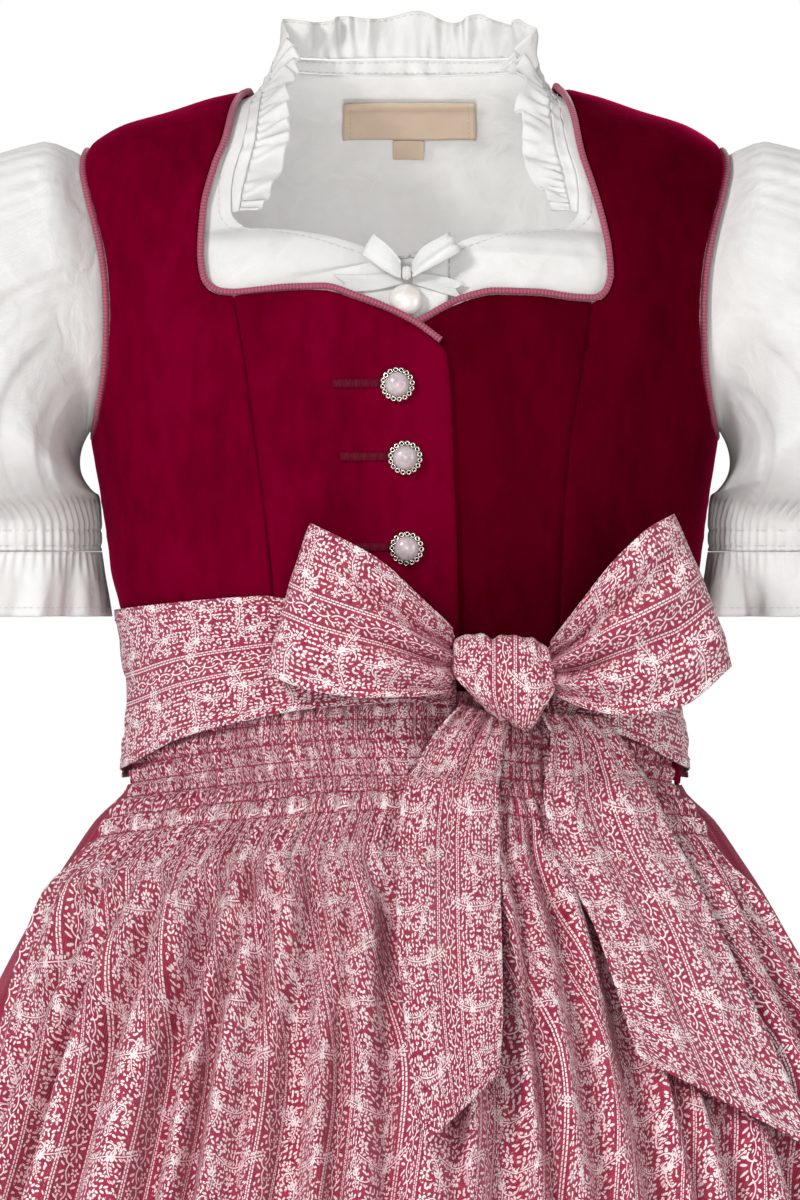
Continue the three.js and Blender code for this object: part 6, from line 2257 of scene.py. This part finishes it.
def lump(rows, y, count, sides, fold_height, gather):
    """A rolled knot whose cloth goes round it in a few creases"""
    x = lerp(rows[0]["x"], rows[-1]["x"], eased(count))
    turn = 2 * np.pi * shares(sides)[None]
    at = {k: smooth(rows, "x", k)(x)[:, None] for k in ("z", "rise", "depth")}
    share = shares(count)[:, None]
    slant = share + 0.05 * np.sin(turn + 0.4)
    crease = 2.4 * np.exp(-((np.abs((slant * 3 + 0.1) % 1 - 0.5) / 0.13) ** 2))
    swing = 1 - crease * (0.6 + 0.4 * np.cos(turn * 2 + share * 9))
    swing = swing + 0.3 * np.cos(2 * np.pi * 8 * slant + np.sin(2 * turn))
    swell = 1 + fold_height * swing * np.sin(np.pi * share) ** 0.5
    closed = np.minimum(1, np.minimum(share, 1 - share) * 12 + 0.35)
    square = lambda v: np.sign(v) * np.abs(v) ** 0.72
    z = at["z"] + at["rise"] * (0.6 + 0.4 * swell) * closed * square(np.sin(turn))
    # The wraps are drawn together at the lower edge
    drawn = gather * ramp(-np.sin(turn), 0.1, 1.1)
    middle = lerp(rows[0]["x"], rows[-1]["x"], 0.62)
    grid = point(lerp(x[:, None], middle, drawn), y + at["depth"] * swell * closed * square(np.cos(turn)), z)
    grid[:, -1] = grid[:, 0]
    flat = pair((x - x.mean())[:, None] * 1.5, along(grid[count // 2])[None])
    return round_part(grid, flat, capped=True)


def tail_grid(rows, count, across, notch=0.0):
    """A band hanging from the knot: its two edges, and a notch cut into its end"""
    edges = [row_point(rows, end, 0.0) for end in ("right", "left")]
    way = (along(edges[0]) + along(edges[1])) / 2
    t = way[-1] * shares(count)
    right, left = (through(way, edge)(t) for edge in edges)
    share = shares(across)
    flat = lerp(right[:, None], left[:, None], share[None, :, None])
    if notch:
        deep = notch * (1 - np.abs(2 * share - 1))[None, :, None]
        flat = flat - unit(flat[-1:] - flat[:1]) * (deep * ramp(shares(count), 0.2, 1)[:, None, None])
    return on_face(FRONT, flat[..., 0], flat[..., 2]), t, share


class DIRNDL_OT_bow(bpy.types.Operator):
    """The sash's bow: two loops, the knot and two hemmed tails"""

    bl_idname = "dirndl.bow"
    bl_label = "Bow"

    def execute(self, context):
        band = context.scene.dirndl_looks.band / MM
        for side in (RIGHT, LEFT):
            key = named(side)
            grid, inner, t = band_loop(BOW_LOOPS[side], side, 120, 38, LOOP_FOLDS, 3.5, LOOP_WALL)
            facing = unit(grid - inner)
            thread = [part for at in (2, 36) for part in stitches(grid[:, at], facing[:, at], "band")]
            sewn = [sew(f"loop_thread_{key}", thread, "rose_thread")]
            parts = [shell(grid, inner, np.swapaxes(stripe_places(38, t, band), 0, 1))]
            dress(f"bow_loop_{key}_jacquard", f"bow_loop_{key}", parts, "jacquard")
            grid, t, share = tail_grid(TAILS[side], 100, 38)
            off = smooth(TAIL_OFF, "z", "off")(grid[..., 2])
            down = t[:, None] / t[-1]
            folds = pressed(100 * share[None] + 0 * down, 100 * down + 0 * share[None], TAIL_FOLDS[side])
            gathers = 1.1 * np.cos(2 * np.pi * 4.5 * share[None]) * (1 - ramp(down, 0, 0.4))
            soft = 0.5 * uneven(pair(40 * share[None], t[:, None] * 0.5), 30, 16 + side)
            edge = np.minimum(share, 1 - share)[None] * 40
            hem = 0.45 * (1 - ramp(np.minimum(edge, t[-1] - t[:, None]), 3.6, 4.2))
            outer = out_soft(grid, lap_under(grid) + off + folds + gathers + soft + hem, 6)
            facing = normals(outer)
            inner = outer - facing * np.sign(facing[50, 19] @ slope_of(grid)[50, 19]) * JACQUARD_WALL
            up = unit(outer - inner)
            thread = [part for at in (3, 35) for part in stitches(outer[6:-2, at], up[6:-2, at], "band")]
            thread += stitches(outer[-4], up[-4], "band")
            sewn = [sew(f"tail_thread_{key}", thread, "rose_thread")]
            parts = [shell(outer, inner, np.swapaxes(stripe_places(38, t, band), 0, 1))]
            dress(f"bow_tail_{key}_jacquard", f"bow_tail_{key}", parts, "jacquard")
        dress("bow_knot_jacquard", "bow_knot", [lump(KNOT, KNOT_MIDDLE, 84, 72, 0.15, 0.3)], "jacquard")
        return {"FINISHED"}


# --- Ribbon -------------------------------------------------------------------------------------------

RIBBON_LOOPS = {
    RIGHT: table(
        "topX topZ bottomX bottomZ front rear",
        (-1.4, -65.4, -1.4, -71.8, -70.3, -67.7),
        (-5, -60.8, -5.4, -70.2, -71.5, -66.9),
        (-10.8, -55.8, -14.2, -64.2, -70.9, -66.3),
    ),
    LEFT: table(
        "topX topZ bottomX bottomZ front rear",
        (2.6, -65.4, 2.6, -71.4, -70.3, -67.7),
        (6, -60.8, 7, -69.2, -71.5, -66.9),
        (14.8, -55.6, 18.8, -62.8, -70.9, -66.3),
    ),
}
RIBBON_KNOT = table("x z rise depth", (-1, -69.6, 2, 1.2), (0.6, -69.7, 2.6, 1.7), (2.2, -69.6, 2, 1.2))
RIBBON_KNOT_MIDDLE = -69.6
RIBBON_WIDTH = 6
RIBBON_TAILS = {
    RIGHT: table(
        "rightX rightZ leftX leftZ",
        (-1.6, -69.6, -0.6, -73.2),
        (-14, -69.5, -13, -75.6),
        (-26.3, -69.8, -24.1, -76.7),
    ),
    LEFT: table(
        "rightX rightZ leftX leftZ",
        (2.4, -73, 3, -69),
        (11, -75.6, 12, -69.8),
        (20.9, -78.5, 22.3, -73.1),
    ),
}
RIBBON_FOLDS = table("start end reach width height", (0.3, 0.3, 0.8, 0.1, 0.35), (0.7, 0.68, 0.7, 0.1, -0.35))


class DIRNDL_OT_ribbon(bpy.types.Operator):
    """The little white satin bow over the blouse's button, its tails cut into a notch"""

    bl_idname = "dirndl.ribbon"
    bl_label = "Ribbon bow"

    def execute(self, context):
        for side in (RIGHT, LEFT):
            key = named(side)
            grid, inner, t = band_loop(RIBBON_LOOPS[side], side, 70, 16, RIBBON_FOLDS, 0.5, RIBBON_WALL)
            parts = [shell(grid, inner, np.swapaxes(stripe_places(16, t, RIBBON_WIDTH), 0, 1))]
            dress(f"ribbon_loop_{key}_satin", f"ribbon_loop_{key}", parts, "ribbon")
            grid, t, share = tail_grid(RIBBON_TAILS[side], 40, 18, 3.2)
            curl = 0.5 * np.sin(2 * np.pi * (t[:, None] / 19 + 0.25 * share[None])) * ramp(t[:, None], 2, 12)
            distance = BLOUSE + SEAM + RIBBON + 0.3 + np.maximum(curl, -0.4)
            outer, inner = out(grid, distance), out(grid, distance - RIBBON_WALL)
            parts = [shell(outer, inner, np.swapaxes(stripe_places(18, t, RIBBON_WIDTH), 0, 1))]
            dress(f"ribbon_tail_{key}_satin", f"ribbon_tail_{key}", parts, "ribbon")
        knot = lump(RIBBON_KNOT, RIBBON_KNOT_MIDDLE, 24, 32, 0.08, 0.0)
        dress("ribbon_knot_satin", "ribbon_knot", [knot], "ribbon")
        return {"FINISHED"}


# --- Stage --------------------------------------------------------------------------------------------


def light(name, place, towards, size, power_w):
    data = bpy.data.lights.new(name, "AREA")
    data.shape = "RECTANGLE"
    data.size, data.size_y = size
    data.energy = power_w
    made = bpy.data.objects.new(name, data)
    made.location = place
    made.visible_camera = False
    made.rotation_euler = (Vector(towards) - Vector(place)).to_track_quat("-Z", "Y").to_euler()
    bpy.context.scene.collection.objects.link(made)
    return made


class DIRNDL_OT_stage(bpy.types.Operator):
    """White surroundings, a pale floor, soft light from the upper left and the camera"""

    bl_idname = "dirndl.stage"
    bl_label = "Stage"

    def execute(self, context):
        scene = context.scene
        world = bpy.data.worlds.new("white_room")
        world.use_nodes = True
        tree = world.node_tree
        seen = add_node(tree, "LightPath").outputs["Is Camera Ray"]
        strength = add_node(tree, "MapRange", {0: seen, 3: 0.36, 4: 1.0})
        backdrop = tree.nodes["Background"]
        backdrop.inputs["Color"].default_value = (1, 1, 1, 1)
        tree.links.new(strength.outputs[0], backdrop.inputs["Strength"])
        scene.world = world
        turn = 2 * np.pi * shares(64)[:-1]
        mesh = bpy.data.meshes.new("floor")
        corners = [(2.6 * math.cos(a), 2.6 * math.sin(a), -0.88) for a in turn]
        mesh.from_pydata(corners, [], [tuple(range(64))])
        pale, _, _ = new_material("matt_paper", {"Base Color": linear("f4f4f4"), "Roughness": 0.9})
        mesh.materials.append(pale)
        floor = bpy.data.objects.new("floor", mesh)
        scene.collection.objects.link(floor)
        centre = (0, 0, -0.28)
        lights = [
            light("key", (-1.7, -2.0, 1.25), centre, (0.6, 0.6), 55),
            light("front", (0.0, -3.3, -0.3), centre, (1.9, 1.9), 43),
            light("side", (2.2, -1.7, 0.0), centre, (1.0, 1.6), 16),
            light("low", (-0.7, -2.5, -1.7), centre, (1.8, 1.0), 40),
            light("rim", (0.6, 1.9, 1.2), centre, (1.0, 1.0), 14),
            # A small lamp inside lights the back of the neck
            light("inside", (0.0, -0.035, -0.12), (0.0, 0.06, -0.01), (0.09, 0.04), 0.075),
        ]
        camera_data = bpy.data.cameras.new("camera")
        camera_data.sensor_fit = "VERTICAL"
        camera_data.sensor_width = 36
        camera_data.sensor_height = 36
        camera_data.lens = 494
        camera_data.clip_end = 200
        camera = bpy.data.objects.new("camera", camera_data)
        camera.location = (-0.0018, -6.075, -0.189)
        camera.rotation_euler = (math.pi / 2, 0, 0)
        scene.collection.objects.link(camera)
        scene.camera = camera
        scene.view_settings.view_transform = "Standard"
        return {"FINISHED"}


# --- Add-on -------------------------------------------------------------------------------------------

PIECES = (
    DIRNDL_OT_bodice,
    DIRNDL_OT_piping,
    DIRNDL_OT_buttons,
    DIRNDL_OT_buttonholes,
    DIRNDL_OT_blouse,
    DIRNDL_OT_collar,
    DIRNDL_OT_labels,
    DIRNDL_OT_sleeves,
    DIRNDL_OT_skirt,
    DIRNDL_OT_apron,
    DIRNDL_OT_sash,
    DIRNDL_OT_bow,
    DIRNDL_OT_ribbon,
    DIRNDL_OT_stage,
)


class DIRNDL_PT_pieces(bpy.types.Panel):
    """The dirndl's sizes, colours and pieces"""

    bl_idname = "DIRNDL_PT_pieces"
    bl_label = "Dirndl"
    bl_space_type = "VIEW_3D"
    bl_region_type = "UI"
    bl_category = "Dirndl"

    def draw(self, context):
        for name in DirndlLooks.__annotations__:
            self.layout.prop(context.scene.dirndl_looks, name)
        for piece in PIECES:
            self.layout.operator(piece.bl_idname)


CLASSES = (DirndlLooks, *PIECES, DIRNDL_PT_pieces)


def register():
    for each in CLASSES:
        bpy.utils.register_class(each)
    bpy.types.Scene.dirndl_looks = PointerProperty(type=DirndlLooks)


def unregister():
    del bpy.types.Scene.dirndl_looks
    for each in reversed(CLASSES):
        bpy.utils.unregister_class(each)


def main():
    register()
    make_materials()
    for piece in PIECES:
        group, name = piece.bl_idname.split(".")
        getattr(getattr(bpy.ops, group), name)()


if __name__ == "__main__":
    main()
